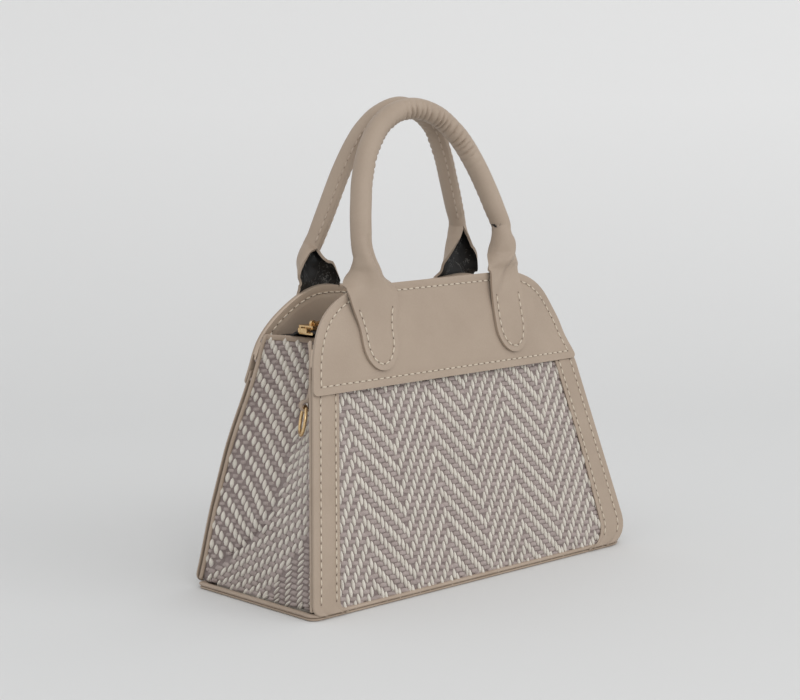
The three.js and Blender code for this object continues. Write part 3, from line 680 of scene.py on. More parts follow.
def make_piece(name, bm, finishes, body="bag", stands_for=()):
    """Puts a finished mesh in the scene, in metres, on the body that carries it."""
    bmesh.ops.scale(bm, vec=(MM, MM, MM), verts=bm.verts)
    mesh = bpy.data.meshes.new(name)
    bm.to_mesh(mesh)
    bm.free()
    for finish in finishes:
        mesh.materials.append(finish)
    mesh.shade_smooth()
    made = bpy.data.objects.new(name, mesh)
    bpy.context.scene.collection.objects.link(made)
    if body:
        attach(made, body)
    if stands_for:
        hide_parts(*stands_for)
    return made


def make_leather(name, bm, stands_for, finish=LEATHER):
    return make_piece(name, bm, [finish], stands_for=stands_for)


def thicken(made, thick, edge=0, back_finish=0):
    """Gives a sheet its thickness, inwards from its face, and a soft rim."""
    shell = made.modifiers.new("thickness", "SOLIDIFY")
    shell.thickness = thick * MM
    shell.offset = -1
    shell.material_offset = back_finish
    if edge:
        soften(made, edge)


def soften(made, edge):
    rim = made.modifiers.new("soft_edge", "BEVEL")
    rim.width = edge * MM
    rim.segments = 2
    rim.limit_method = "ANGLE"
    rim.angle_limit = math.radians(50)
    rim.harden_normals = True


def bead(columns, rows, finish_index, power=1):
    """A small ball of unit radius for stamping, squarer with a power below 1 and leaner with one above."""
    bm = bmesh.new()
    bmesh.ops.create_uvsphere(bm, u_segments=columns, v_segments=rows, radius=1)
    for vert in bm.verts:
        vert.co.x = math.copysign(abs(vert.co.x) ** power, vert.co.x)
        vert.co.y = math.copysign(abs(vert.co.y) ** power, vert.co.y)
    for face in bm.faces:
        face.material_index = finish_index
        face.smooth = True
    mesh = bpy.data.meshes.new("bead")
    bm.to_mesh(mesh)
    bm.free()
    return mesh


def frame_matrix(origin, first, second, third):
    """A matrix whose columns are three scaled axes and an origin."""
    return Matrix((
        (first.x, second.x, third.x, origin.x),
        (first.y, second.y, third.y, origin.y),
        (first.z, second.z, third.z, origin.z),
        (0, 0, 0, 1)))


def stamp(bm, template, place):
    copy = template.copy()
    copy.transform(place)
    bm.from_mesh(copy)
    bpy.data.meshes.remove(copy)


# Stitches

THREAD_BEAD = bead(8, 6, 0)
HOLE_BEAD = bead(6, 4, 1)


def sew(bm, seam, hole):
    """Stitches along a seam of points with normals, with a needle hole between each two."""
    lengths = measured([point for point, _ in seam])
    count = max(1, round(lengths[-1] / STITCH_PITCH))
    pitch = lengths[-1] / count

    def axes_at(distance):
        k, share = step_at(lengths, distance)
        (a, normal_a), (b, normal_b) = seam[k], seam[k + 1]
        ahead = (b - a).normalized()
        normal = normal_a.lerp(normal_b, share).normalized()
        return a.lerp(b, share), ahead, normal.cross(ahead).normalized(), normal

    thick = STITCH_THICK / 2
    for k in range(count):
        point, ahead, side, normal = axes_at((k + 0.5) * pitch)
        turn = Matrix.Rotation(luck.uniform(-STITCH_TURN, STITCH_TURN), 3, normal)
        half = STITCH_LENGTH / 2 * luck.uniform(*STITCH_UNEVEN)
        stamp(bm, THREAD_BEAD, frame_matrix(point, turn @ ahead * half, turn @ side * thick, normal * thick))
    for k in range(count + 1):
        point, ahead, side, normal = axes_at(k * pitch)
        stamp(bm, HOLE_BEAD, frame_matrix(
            point, ahead * hole, side * hole * HOLE_NARROW, normal * HOLE_DEPTH))


def make_stitches(name, seams, yarn=THREAD, hole=STITCH_HOLE, body="bag"):
    """All the stitches of some seams, as one piece."""
    bm = bmesh.new()
    for seam in seams:
        sew(bm, seam, hole)
    make_piece(name, bm, [yarn, HOLE], body=body)


def seam_groove(distance, seam, width=SEAM_GROOVE_WIDTH):
    """Depth of the groove that a seam pulls into leather, at a distance from the leather's edge."""
    return SEAM_GROOVE * bell(distance, seam, width)


# Outlines of wall panels

def wall_rows(wall, low_z, high_z, low_corner, step):
    """Row values up a wall, closer together where the outline turns."""
    low = wall.up_at(low_z)
    high = wall.up_at(high_z)
    foot = [low]
    if low_corner:
        foot = [low + low_corner * (1 - math.cos(a)) for a in spread(0, math.pi / 2, math.radians(15))]
    tangent = wall.arc_up + TOP_CORNER * math.sin(wall.taper)
    if high <= tangent:
        return foot + spread(foot[-1], high, step)[1:]
    straight = spread(foot[-1], tangent, step)[1:]
    end = math.asin(min(1, (high - wall.arc_up) / TOP_CORNER))
    arc = [wall.arc_up + TOP_CORNER * math.sin(a) for a in spread(wall.taper, end, math.radians(3))[1:]]
    return foot + straight + arc


def outline_half(wall, up, low_z, low_corner, overhang=0):
    """Half the width of a panel's outline, with its lower corners rounded."""
    half = wall.half_width(up) + overhang
    over = low_corner - (up - wall.up_at(low_z))
    if low_corner and over > 0:
        half += math.sqrt(max(0, low_corner ** 2 - over ** 2)) - low_corner
    return half


def wall_patch(wall, rows, low_z, low_corner, out, columns, overhang=(0, 0)):
    """A panel of a wall. Out gives its height at a place across and up, and overhang widens it on
    the left and on the right."""
    def place(share, up):
        x = share * outline_half(wall, up, low_z, low_corner, overhang[0 if share < 0 else 1])
        return wall.at(x, up, out(x, up))

    return face_along(grid_sheet(shares_of(columns), rows, place), wall.normal)


# Yokes and their facings

def seam_outline(wall, rows):
    """Places of the seam inside a wall's edge: up its right side, over its top and down its left side."""
    top = wall.top - YOKE_SEAM
    right = [(wall.half_width(up, YOKE_SEAM), up) for up in rows if up < top]
    right.append((wall.arc_x, top))
    across = [(x, top) for x in spread(wall.arc_x, -wall.arc_x, SEAM_STEP)[1:-1]]
    return [*right, *across, *[(-x, up) for x, up in reversed(right)]]


def yoke_height(wall):
    low = wall.up_at(YOKE_LOW)

    def out(x, up):
        edge = min(wall.edge_distance(x, up), up - low)
        uneven = YOKE_UNEVEN * noise.noise(Vector((x / 38, up / 30, 3.1 * wall.side)))
        return YOKE_FACE - seam_groove(edge, YOKE_SEAM) + uneven

    return out


def yoke_seam(wall):
    """The row of stitches round a yoke: along its lower edge, up its sides and over its top."""
    low = wall.up_at(YOKE_LOW) + YOKE_SEAM
    corner = wall.half_width(low, YOKE_SEAM)
    bottom = [(x, low) for x in spread(-corner, corner, SEAM_STEP)]
    rows = [up for up in wall_rows(wall, YOKE_LOW, BODY_HEIGHT, 0, SEAM_STEP) if up > low]
    outline = [*bottom, *seam_outline(wall, rows), bottom[0]]
    out = yoke_height(wall)
    return [(wall.at(x, up, out(x, up) + STITCH_LIFT), wall.normal) for x, up in outline]


def make_yoke(wall):
    rows = wall_rows(wall, YOKE_LOW, BODY_HEIGHT, YOKE_LOW_CORNER, 1.6)
    overhang = (YOKE_OVERHANG if wall is FRONT else 0, 0)
    bm = wall_patch(wall, rows, YOKE_LOW, YOKE_LOW_CORNER, yoke_height(wall), 150, overhang)
    yoke = make_leather(f"{wall.name}_yoke_leather", bm, [f"{wall.name}_yoke"])
    thicken(yoke, YOKE_THICK, 0.5)
    make_stitches(f"{wall.name}_yoke_stitches", [yoke_seam(wall)])


def make_facing(wall):
    """Leather on the inner side of a yoke, painted lighter as painted light, with the seam's stitches
    showing through.
    """
    rows = wall_rows(wall, FACING_LOW, BODY_HEIGHT - 0.2, 0, 2.5)

    def out(x, up):
        return FACING_BACK + seam_groove(wall.edge_distance(x, up), YOKE_SEAM)

    bm = wall_patch(wall, rows, FACING_LOW, 0, out, 110)
    face_along(bm, -wall.normal)
    facing = make_leather(f"{wall.name}_facing_leather", bm, [f"{wall.name}_facing"], PAINTED_LIGHT_FACING_LEATHER)
    thicken(facing, FACING_FACE - FACING_BACK, 0.45)
    seam = [(wall.at(x, up, out(x, up) - STITCH_LIFT), -wall.normal) for x, up in seam_outline(wall, rows)]
    make_stitches(f"{wall.name}_facing_stitches", [seam])


# Side strips, turned round the edge of the wall

def strip_section():
    """Steps across a strip: inset from the outer edge and height, round the edge and down it."""
    flat = [(inset, STRIP_FACE - 0.5 * smooth_step(inset, STRIP_WIDTH - 1.5, STRIP_WIDTH))
            for inset in spread(STRIP_WIDTH, STRIP_TURN, 0.75)]
    bend = [(STRIP_TURN * (1 - math.sin(a)), STRIP_FACE - STRIP_TURN * (1 - math.cos(a)))
            for a in spread(0, math.pi / 2, math.pi / 10)[1:]]
    return [*flat, *bend, (0, STRIP_FACE - STRIP_TURN - STRIP_SIDE)]


def make_strip(wall, hand, name):
    section = strip_section()
    low = wall.up_at(STRIP_FOOT)
    corner = SOFT_FOOT_CORNER if wall is FRONT and hand > 0 else FOOT_CORNER
    rows = wall_rows(wall, STRIP_FOOT, STRIP_TOP, corner, 2)
    top_spread, foot_spread = STRIP_SPREAD[wall.name][hand]

    def across(inset, up):
        """Place across of a line on the strip, which is wider at its foot."""
        wider = mix(foot_spread, top_spread, smooth_step(up, 0, 70))
        return hand * (outline_half(wall, up, STRIP_FOOT, corner) - inset * wider)

    def height(step, up):
        inset, out = section[step]
        groove = seam_groove(inset, STRIP_OUTER_SEAM) + seam_groove(inset, STRIP_INNER_SEAM, 1.2)
        puff = STRIP_PUFF * bell(inset, STRIP_WIDTH / 2 + 1, 4) * smooth_step(up, low, low + 15)
        return out - groove + puff

    def place(step, up):
        return wall.at(across(section[step][0], up), up, height(step, up))

    def seam(inset):
        nearest = min(range(len(section)), key=lambda step: abs(section[step][0] - inset))
        return [(wall.at(across(inset, up), up, height(nearest, up) + STITCH_LIFT), wall.normal)
                for up in spread(wall.up_at(FOOT_Z + 4), wall.up_at(YOKE_LOW - 0.5), SEAM_STEP)]

    bm = face_along(grid_sheet(range(len(section)), rows, place), wall.normal)
    strip = make_leather(f"{wall.name}_{name}_strip_leather", bm, [f"{wall.name}_{name}_strip"])
    thicken(strip, STRIP_THICK, 0.35)
    make_stitches(f"{wall.name}_{name}_strip_stitches", [seam(STRIP_OUTER_SEAM), seam(STRIP_INNER_SEAM)])


# Woven cloth

# Shapes of yarns, with their sizes across, along and out

LEAF = bead(10, 6, 0, 1.35)
BLOCK = bead(12, 4, 1, 0.5)
WALL_YARNS = {"warp": (LEAF, (2.3, 7.1, 1.4)), "weft": (BLOCK, (4.9, 2.6, 0.8))}
GUSSET_YARNS = {
    "back": {"warp": (LEAF, (3.05, 6.4, 1.5)), "weft": (BLOCK, (3.9, 2.3, 0.9))},
    "front": {"warp": (LEAF, (2.55, 6.6, 1.45)), "weft": (BLOCK, (4.8, 3.2, 0.9))},
    "corner": {"warp": (LEAF, (1.95, 6.4, 1.35)), "weft": (BLOCK, (4.6, 2.9, 0.9))},
}


def make_ground(name, bm, node):
    return make_piece(name, bm, [GROUND_YARN], stands_for=[node])


def make_floats(name, bm):
    return make_piece(name, bm, [CREAM_YARN, TAUPE_YARN])


def chevron(column):
    """Columns from the nearest peak of the herringbone."""
    turn = column % (2 * CHEVRON_COLUMNS)
    return min(turn, 2 * CHEVRON_COLUMNS - turn)


def lay_weave(bm, yarns, columns, repeats, shift, spot):
    """Lays a warp float once in each repeat of a column, and weft floats over two columns between them.
    Shift gives the share of a repeat by which a column's floats are lowered; spot gives a point and
    axes for a place counted in columns and repeats, or nothing outside the cloth."""
    for column in columns:
        middle = 0.5 - (shift(column) + shift(column + 1)) / 2
        for repeat in repeats:
            lay_yarn(bm, yarns["warp"], spot(column, repeat - shift(column)))
            lay_yarn(bm, yarns["weft"], spot(column + 0.5, repeat + middle))


def lay_yarn(bm, yarn, found):
    if not found:
        return
    template, size = yarn
    point, across, up, normal = found
    turn = Matrix.Rotation(luck.uniform(-YARN_TURN, YARN_TURN), 3, normal)
    wide = size[0] / 2 * luck.uniform(*YARN_UNEVEN)
    long = size[1] / 2 * luck.uniform(*YARN_UNEVEN)
    high = size[2] * luck.uniform(*YARN_HEIGHTS)
    stamp(bm, template, frame_matrix(
        point + normal * CLOTH_GROUND, turn @ across * wide, turn @ up * long, normal * high))


def cloth_tuck(up):
    """How far the foot of a cloth panel turns in over the base."""
    return CLOTH_TUCK * max(0, 1 - up / CLOTH_ROLL) ** 2


def make_wall_cloth(wall):
    """The woven panel of a wall: a dark ground, and the floats that stand on it."""
    low_z = FOOT_Z - 1
    rows = wall_rows(wall, low_z, PANEL_TOP, FOOT_CORNER, 4)
    ground = wall_patch(wall, rows, low_z, FOOT_CORNER, lambda x, up: CLOTH_GROUND - cloth_tuck(up), 60,
                        (-CLOTH_INSET, -CLOTH_INSET))
    under = make_ground(f"{wall.name}_cloth_ground", ground, f"{wall.name}_fabric_panel")
    thicken(under, CLOTH_GROUND - CLOTH_BACK)
    top = wall.up_at(YOKE_LOW) + 3
    across = (Vector((1, 0, 0)) - wall.rise * WEFT_DIP).normalized()

    def spot(column, repeat):
        x = FRONT_PEAK_X + column * WARP_PITCH
        up = FIRST_FLOAT + repeat * WARP_REPEAT + CLOTH_SKEW * x
        if not -LOWEST_FLOAT < up < top or abs(x) > wall.straight_edge(up) - STRIP_WIDTH + 2.5:
            return None
        up = max(0, up)
        return wall.at(x, up, -cloth_tuck(up)), across, wall.rise, wall.normal

    def shift(column):
        return COLUMN_STEP * chevron(column)

    bm = bmesh.new()
    reach = BASE_WIDTH / 2
    first = math.floor((-reach - FRONT_PEAK_X) / WARP_PITCH)
    last = math.ceil((reach - FRONT_PEAK_X) / WARP_PITCH)
    repeats = range(-2, math.ceil(top / WARP_REPEAT) + 5)
    lay_weave(bm, WALL_YARNS, range(first, last), repeats, shift, spot)
    floats = make_floats(f"{wall.name}_weave", bm)


# Gussets

def fold_growth(z):
    """Share of the fold's full depth at a height."""
    return max(0, (z - FOLD_START) / (GUSSET_TOP - FOLD_START))


def fold_share(across):
    """Depth of the fold across the gusset, from 0 at the walls to 1 at its rounded crease."""
    reach = math.hypot(1, FOLD_ROUND) - FOLD_ROUND
    return 1 - (math.hypot(across, FOLD_ROUND) - FOLD_ROUND) / reach


def corner_crease(across, z):
    """Depth beside the crease: the back half tucks in under the front half."""
    off = across - between(CREASE_LINE, z)
    strong = fade(z, 38, 72) * smooth_step(z, 0, 12)
    if off > 0:
        return strong * CREASE_DEPTH * math.exp(-off / CREASE_REACH)
    return -strong * CREASE_LIP * math.exp(off / CREASE_LIP_REACH)


def foot_cut(z, corner):
    """How far a rounded lower corner of a wall is cut back at a height."""
    over = min(corner, max(0, corner - (z - STRIP_FOOT)))
    return corner - math.sqrt(corner ** 2 - over ** 2)


def gusset_point(side, across, z, inward=0):
    """A point of a gusset: side is -1 on the left, across runs from the front wall to the back."""
    sunk = z - GUSSET_SAG * fold_growth(z) * fold_share(across)
    edge = side * side_x(sunk)
    front_y = FRONT.y_at(sunk, CLOTH_BACK - GAP, edge)
    back_y = BACK.y_at(sunk, CLOTH_BACK - GAP, edge)
    y = mix(front_y, back_y, (across + 1) / 2)
    held = 1 - abs(across) ** 6
    wave = GUSSET_WAVE * held * noise.noise(Vector((y / 17, sunk / 22, 5 * side)))
    fold = FOLD_DEPTH * fold_growth(sunk) * fold_share(across)
    depth = fold + corner_crease(across, sunk) * held + wave
    recess = GUSSET_RECESS - BACK_EDGE_LIFT * smooth_step(across, 0.6, 1)
    corner = SOFT_FOOT_CORNER if side > 0 > across else FOOT_CORNER
    recess += foot_cut(sunk, corner) * smooth_step(abs(across), 0.5, 0.95)
    return Vector((side * (side_x(sunk) - recess - depth - inward), y, sunk))


def gusset_reach(z):
    """Half the width of the cloth itself at a height, along its fold."""
    span = BACK.y_at(z, CLOTH_BACK - GAP) - FRONT.y_at(z, CLOTH_BACK - GAP)
    return math.hypot(span / 2, FOLD_DEPTH * fold_growth(z))


def gusset_frame(side, across, z):
    """A point on a gusset's face with its axes: towards the back, up, and out of the cloth."""
    point = gusset_point(side, across, z)
    level = gusset_point(side, across + 0.02, z) - gusset_point(side, across - 0.02, z)
    up = gusset_point(side, across, z + 0.5) - gusset_point(side, across, z - 0.5)
    normal = level.cross(up).normalized()
    if normal.x * side < 0:
        normal.negate()
    return point, level.normalized(), up.normalized(), normal


def make_gusset(side, name):
    rows = spread(GUSSET_FOOT, GUSSET_TOP, 2.2)
    bm = grid_sheet(shares_of(60), rows, lambda across, z: gusset_point(side, across, z, -CLOTH_GROUND))
    face_along(bm, Vector((side, 0, 0)))
    under = make_ground(f"{name}_gusset_ground", bm, f"{name}_gusset")
    thicken(under, GUSSET_THICK)
    weave = bmesh.new()
    for part in GUSSET_WEAVES:
        lay_gusset_part(weave, side, part)
    floats = make_floats(f"{name}_gusset_weave", weave)


def lay_gusset_part(bm, side, part):
    """The weave of one part of a gusset: behind its crease, in front of it, or in the front corner."""
    *steps, slope, columns = GUSSET_WEAVES[part]
    start, column_step, repeat_step, along = (Vector(step) for step in steps)

    def spot(column, repeat):
        off, z = start + column_step * column + repeat_step * repeat
        if not FOOT_Z - LOWEST_FLOAT < z < GUSSET_TOP - 1:
            return None
        z = max(z, FOOT_Z - 0.2)
        if part == "back":
            off = FAN_EDGE - (FAN_EDGE - off) * min(FAN_WIDEST, 1 - FAN_RATE * (z - FAN_LEVEL))
        across = off / gusset_reach(z)
        beyond = across - between(CREASE_LINE, z)
        edge = FLOAT_EDGE if z > FOOT_Z + FOOT_FLOAT_HEIGHT else FOOT_FLOAT_EDGE
        if abs(across) > edge or abs(beyond) < CREASE_CLEAR or (beyond > 0) != (part == "back"):
            return None
        point, level, up, normal = gusset_frame(side, across, z)
        wide = (level * column_step.x + up * column_step.y).normalized()
        long = (level * along.x + up * along.y).normalized()
        return point, wide, long, normal

    def shift(column):
        return COLUMN_STEP * slope * column

    lay_weave(bm, GUSSET_YARNS[part], columns, GUSSET_REPEATS, shift, spot)


def make_gusset_binding(side, name):
    """Leather folded over the top edge of a gusset."""
    outward = Vector((side * BINDING_HALF, 0, 0))

    def place(turn, across):
        edge = gusset_point(side, across, GUSSET_TOP)
        inner = gusset_point(side, across, GUSSET_TOP, GUSSET_BACK)
        drop = BINDING_DROP if math.sin(turn) < 0 else 1
        return (edge + inner) / 2 + outward * math.cos(turn) + Vector((0, 0, drop * math.sin(turn)))

    turns = spread(-math.pi / 2, math.pi * 1.5, math.pi / 8)
    bm = close_roll(grid_sheet(turns, shares_of(40), place))
    make_leather(f"{name}_gusset_edge", bm, [f"{name}_gusset_top_binding"], EDGE_LEATHER)


# Piping and base

def tube(points, radius, sides=12):
    """A closed round tube along points, with rounded ends."""
    last = len(points) - 1

    def place(turn, k):
        ahead = (points[min(last, k + 1)] - points[max(0, k - 1)]).normalized()
        side = ahead.cross(Vector((0, 1, 0.3))).normalized()
        up = side.cross(ahead)
        size = radius * (0.55 if k in (0, last) else 1)
        return points[k] + (side * math.cos(turn) + up * math.sin(turn)) * size

    turns = spread(0, 2 * math.pi, 2 * math.pi / sides)
    return close_roll(grid_sheet(turns, range(len(points)), place))


def make_piping(wall, hand, name):
    def spot(up):
        x = wall.straight_edge(up) - PIPING_RADIUS - GAP
        if wall is FRONT and hand > 0:
            x -= foot_cut(FOOT_Z + up * wall.cos, SOFT_FOOT_CORNER)
        uneven = PIPING_UNEVEN * noise.noise(Vector((up / 9, hand, wall.side)))
        return wall.at(hand * x, up, CLOTH_BACK - PIPING_RADIUS + uneven)

    low = wall.up_at(FOOT_Z + 0.8)
    high = wall.up_at(GUSSET_TOP + 1)
    points = [spot(up) for up in [low, low + 0.4, *spread(low + 1.5, high - 1, 4), high]]
    make_leather(f"{wall.name}_{name}_piping_leather", tube(points, PIPING_RADIUS),
                 [f"{wall.name}_{name}_piping"], EDGE_LEATHER)


def base_loop(inset, step=4):
    """Points round the base with their outward directions."""
    half_x = BASE_WIDTH / 2 - inset
    half_y = BASE_DEPTH / 2 - inset
    found = []
    for (right, back), (start, radius) in BASE_CORNERS.items():
        corner = max(0.5, radius - inset)
        centre = Vector((right * (half_x - corner), back * (half_y - corner), 0))
        for angle in spread(math.radians(start), math.radians(start + 90), math.radians(9)):
            away = Vector((math.cos(angle), math.sin(angle), 0))
            found.append((centre + away * corner, away))
    closed = [*found, found[0]]
    filled = []
    for (a, away_a), (b, away_b) in zip(closed, closed[1:]):
        for share in spread(0, 1, step / max(step, (b - a).length))[:-1]:
            filled.append((a.lerp(b, share), away_a.lerp(away_b, share).normalized()))
    return filled


def base_edge(inset, height, half, deep):
    """One layer of the base's edge, all the way round."""
    loop = base_loop(inset + deep)

    def place(turn, k):
        point, away = loop[k % len(loop)]
        uneven = EDGE_UNEVEN * noise.noise(point / 13)
        lift = half * math.sin(turn) + height + uneven * 0.4
        return point + away * (deep * math.cos(turn) + uneven) + Vector((0, 0, max(EDGE_LOWEST, lift)))

    turns = spread(0, 2 * math.pi, math.pi / 7)
    return face_out(close_seams(grid_sheet(turns, range(len(loop) + 1), place)))


def base_plate(inset, z):
    """A plate over the base with rounded corners, which faces down."""
    half_y = BASE_DEPTH / 2 - inset
    corner = SOFT_FOOT_CORNER - inset

    def place(share, y):
        over = max(0, abs(y) - (half_y - corner))
        x = share * (BASE_WIDTH / 2 - inset - corner + math.sqrt(max(0, corner ** 2 - over ** 2)))
        return Vector((x, y, z + 0.15 * noise.noise(Vector((x / 40, y / 30, 2)))))

    rim = [half_y - corner + corner * math.sin(a) for a in spread(0, math.pi / 2, math.pi / 16)]
    rows = [-y for y in reversed(rim)] + spread(-rim[0], rim[0], 6)[1:-1] + rim
    return face_along(grid_sheet(shares_of(50), rows, place), Vector((0, 0, -1)))


def make_board(name, bm, node, thick):
    board = make_piece(name, bm, [BOARD], stands_for=[node])
    thicken(board, thick)


def make_base():
    """Two layers of leather edge round the base, and the leather panel and board inside them."""
    make_leather("base_lower_edge", base_edge(*LOWER_EDGE), ["base_binding"], EDGE_LEATHER)
    make_leather("base_upper_edge", base_edge(*UPPER_EDGE), [], EDGE_LEATHER)
    panel = make_leather("base_leather", base_plate(*BASE_PANEL_PLACE), ["base_panel"])
    thicken(panel, BASE_PANEL_THICK)
    make_board("base_stiff_board", base_plate(*BASE_BOARD_PLACE), "base_board", BASE_BOARD_THICK)


def make_stiffener(wall):
    """The hidden board behind a wall's cloth, bent with the wall."""
    low_z = FOOT_Z + 1
    rows = wall_rows(wall, low_z, PANEL_TOP, FOOT_CORNER, 5)
    bm = wall_patch(wall, rows, low_z, FOOT_CORNER, lambda x, up: CLOTH_BACK - GAP, 50,
                    (-STIFFENER_INSET, -STIFFENER_INSET))
    make_board(f"{wall.name}_stiff_board", bm, f"{wall.name}_stiffener", STIFFENER_THICK)


# Lining

def lining_ring(z):
    """Points round the lining at a height: left side, back, right side and front."""
    shares = spread(-LINING_REACH, LINING_REACH, 0.12)
    left = [gusset_point(-1, across, z, LINING_INSET) for across in shares]
    right = [gusset_point(1, across, z, LINING_INSET) for across in reversed(shares)]
    steps = spread(0, 1, 0.06)[1:-1]
    back = [left[-1].lerp(right[0], share) for share in steps]
    front = [right[-1].lerp(left[0], share) for share in steps]
    return [*left, *back, *right, *front]


def make_lining():
    """A black pouch that hangs inside the walls and the folded gussets."""
    levels = [FOOT_Z + 1.5, *spread(FOOT_Z + 3, GUSSET_TOP - 3, 6)]
    rings = [lining_ring(z) for z in levels]
    floor = [Vector((point.x, 0, point.z)) for point in rings[0]]
    rings.insert(0, floor)
    count = len(floor)
    bm = grid_sheet(range(count + 1), range(len(rings)), lambda k, i: rings[i][k % count])
    face_out(close_seams(bm))
    pouch = make_piece("lining_pouch", bm, [BLACK_CLOTH], stands_for=["lining"])
    thicken(pouch, LINING_THICK)


# Zip

def make_zip_tape(wall):
    """A black tape from the teeth to the facing, turned up where it is sewn."""
    teeth_low, teeth_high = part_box(f"{wall.name}_zip_teeth")
    level = (teeth_low.z + teeth_high.z) / 2 / MM
    near = (teeth_low.y if wall.side < 0 else teeth_high.y) / MM

    def place(x, share):
        y = mix(near, wall.y_at(level - TAPE_SAG, TAPE_SEWN, x), share)
        wave = TAPE_WAVE * noise.noise(Vector((x / 14, share * 2.5, wall.side)))
        return Vector((x, y, level - TAPE_SAG * smooth_step(share, 0, 0.7) + wave))

    bm = grid_sheet(spread(teeth_low.x / MM, teeth_high.x / MM, 3), spread(0, 1, 0.1), place)
    face_along(bm, Vector((0, 0, 1)))
    tape = make_piece(f"{wall.name}_tape_cloth", bm, [ZIP_CLOTH],
                      stands_for=[f"{wall.name}_zip_tape"])
    thicken(tape, TAPE_THICK)


def finish_metal():
    """Rounds the edges of the metal pieces."""
    for name in ("zip_slider", "zip_pull", "left_zip_stop", "right_zip_stop",
                 "front_zip_teeth", "back_zip_teeth", "left_ring", "right_ring"):
        node = frame["nodes"][name]
        node.data.materials.clear()
        node.data.materials.append(GOLD)
        node.modifiers.new("joined", "WELD").merge_threshold = 0.01 * MM
        if name.endswith("ring"):
            rounder = node.modifiers.new("round", "SUBSURF")
            rounder.levels = 2
            rounder.render_levels = 2
            node.data.shade_smooth()
        else:
            soften(node, 0.22)


# Handles

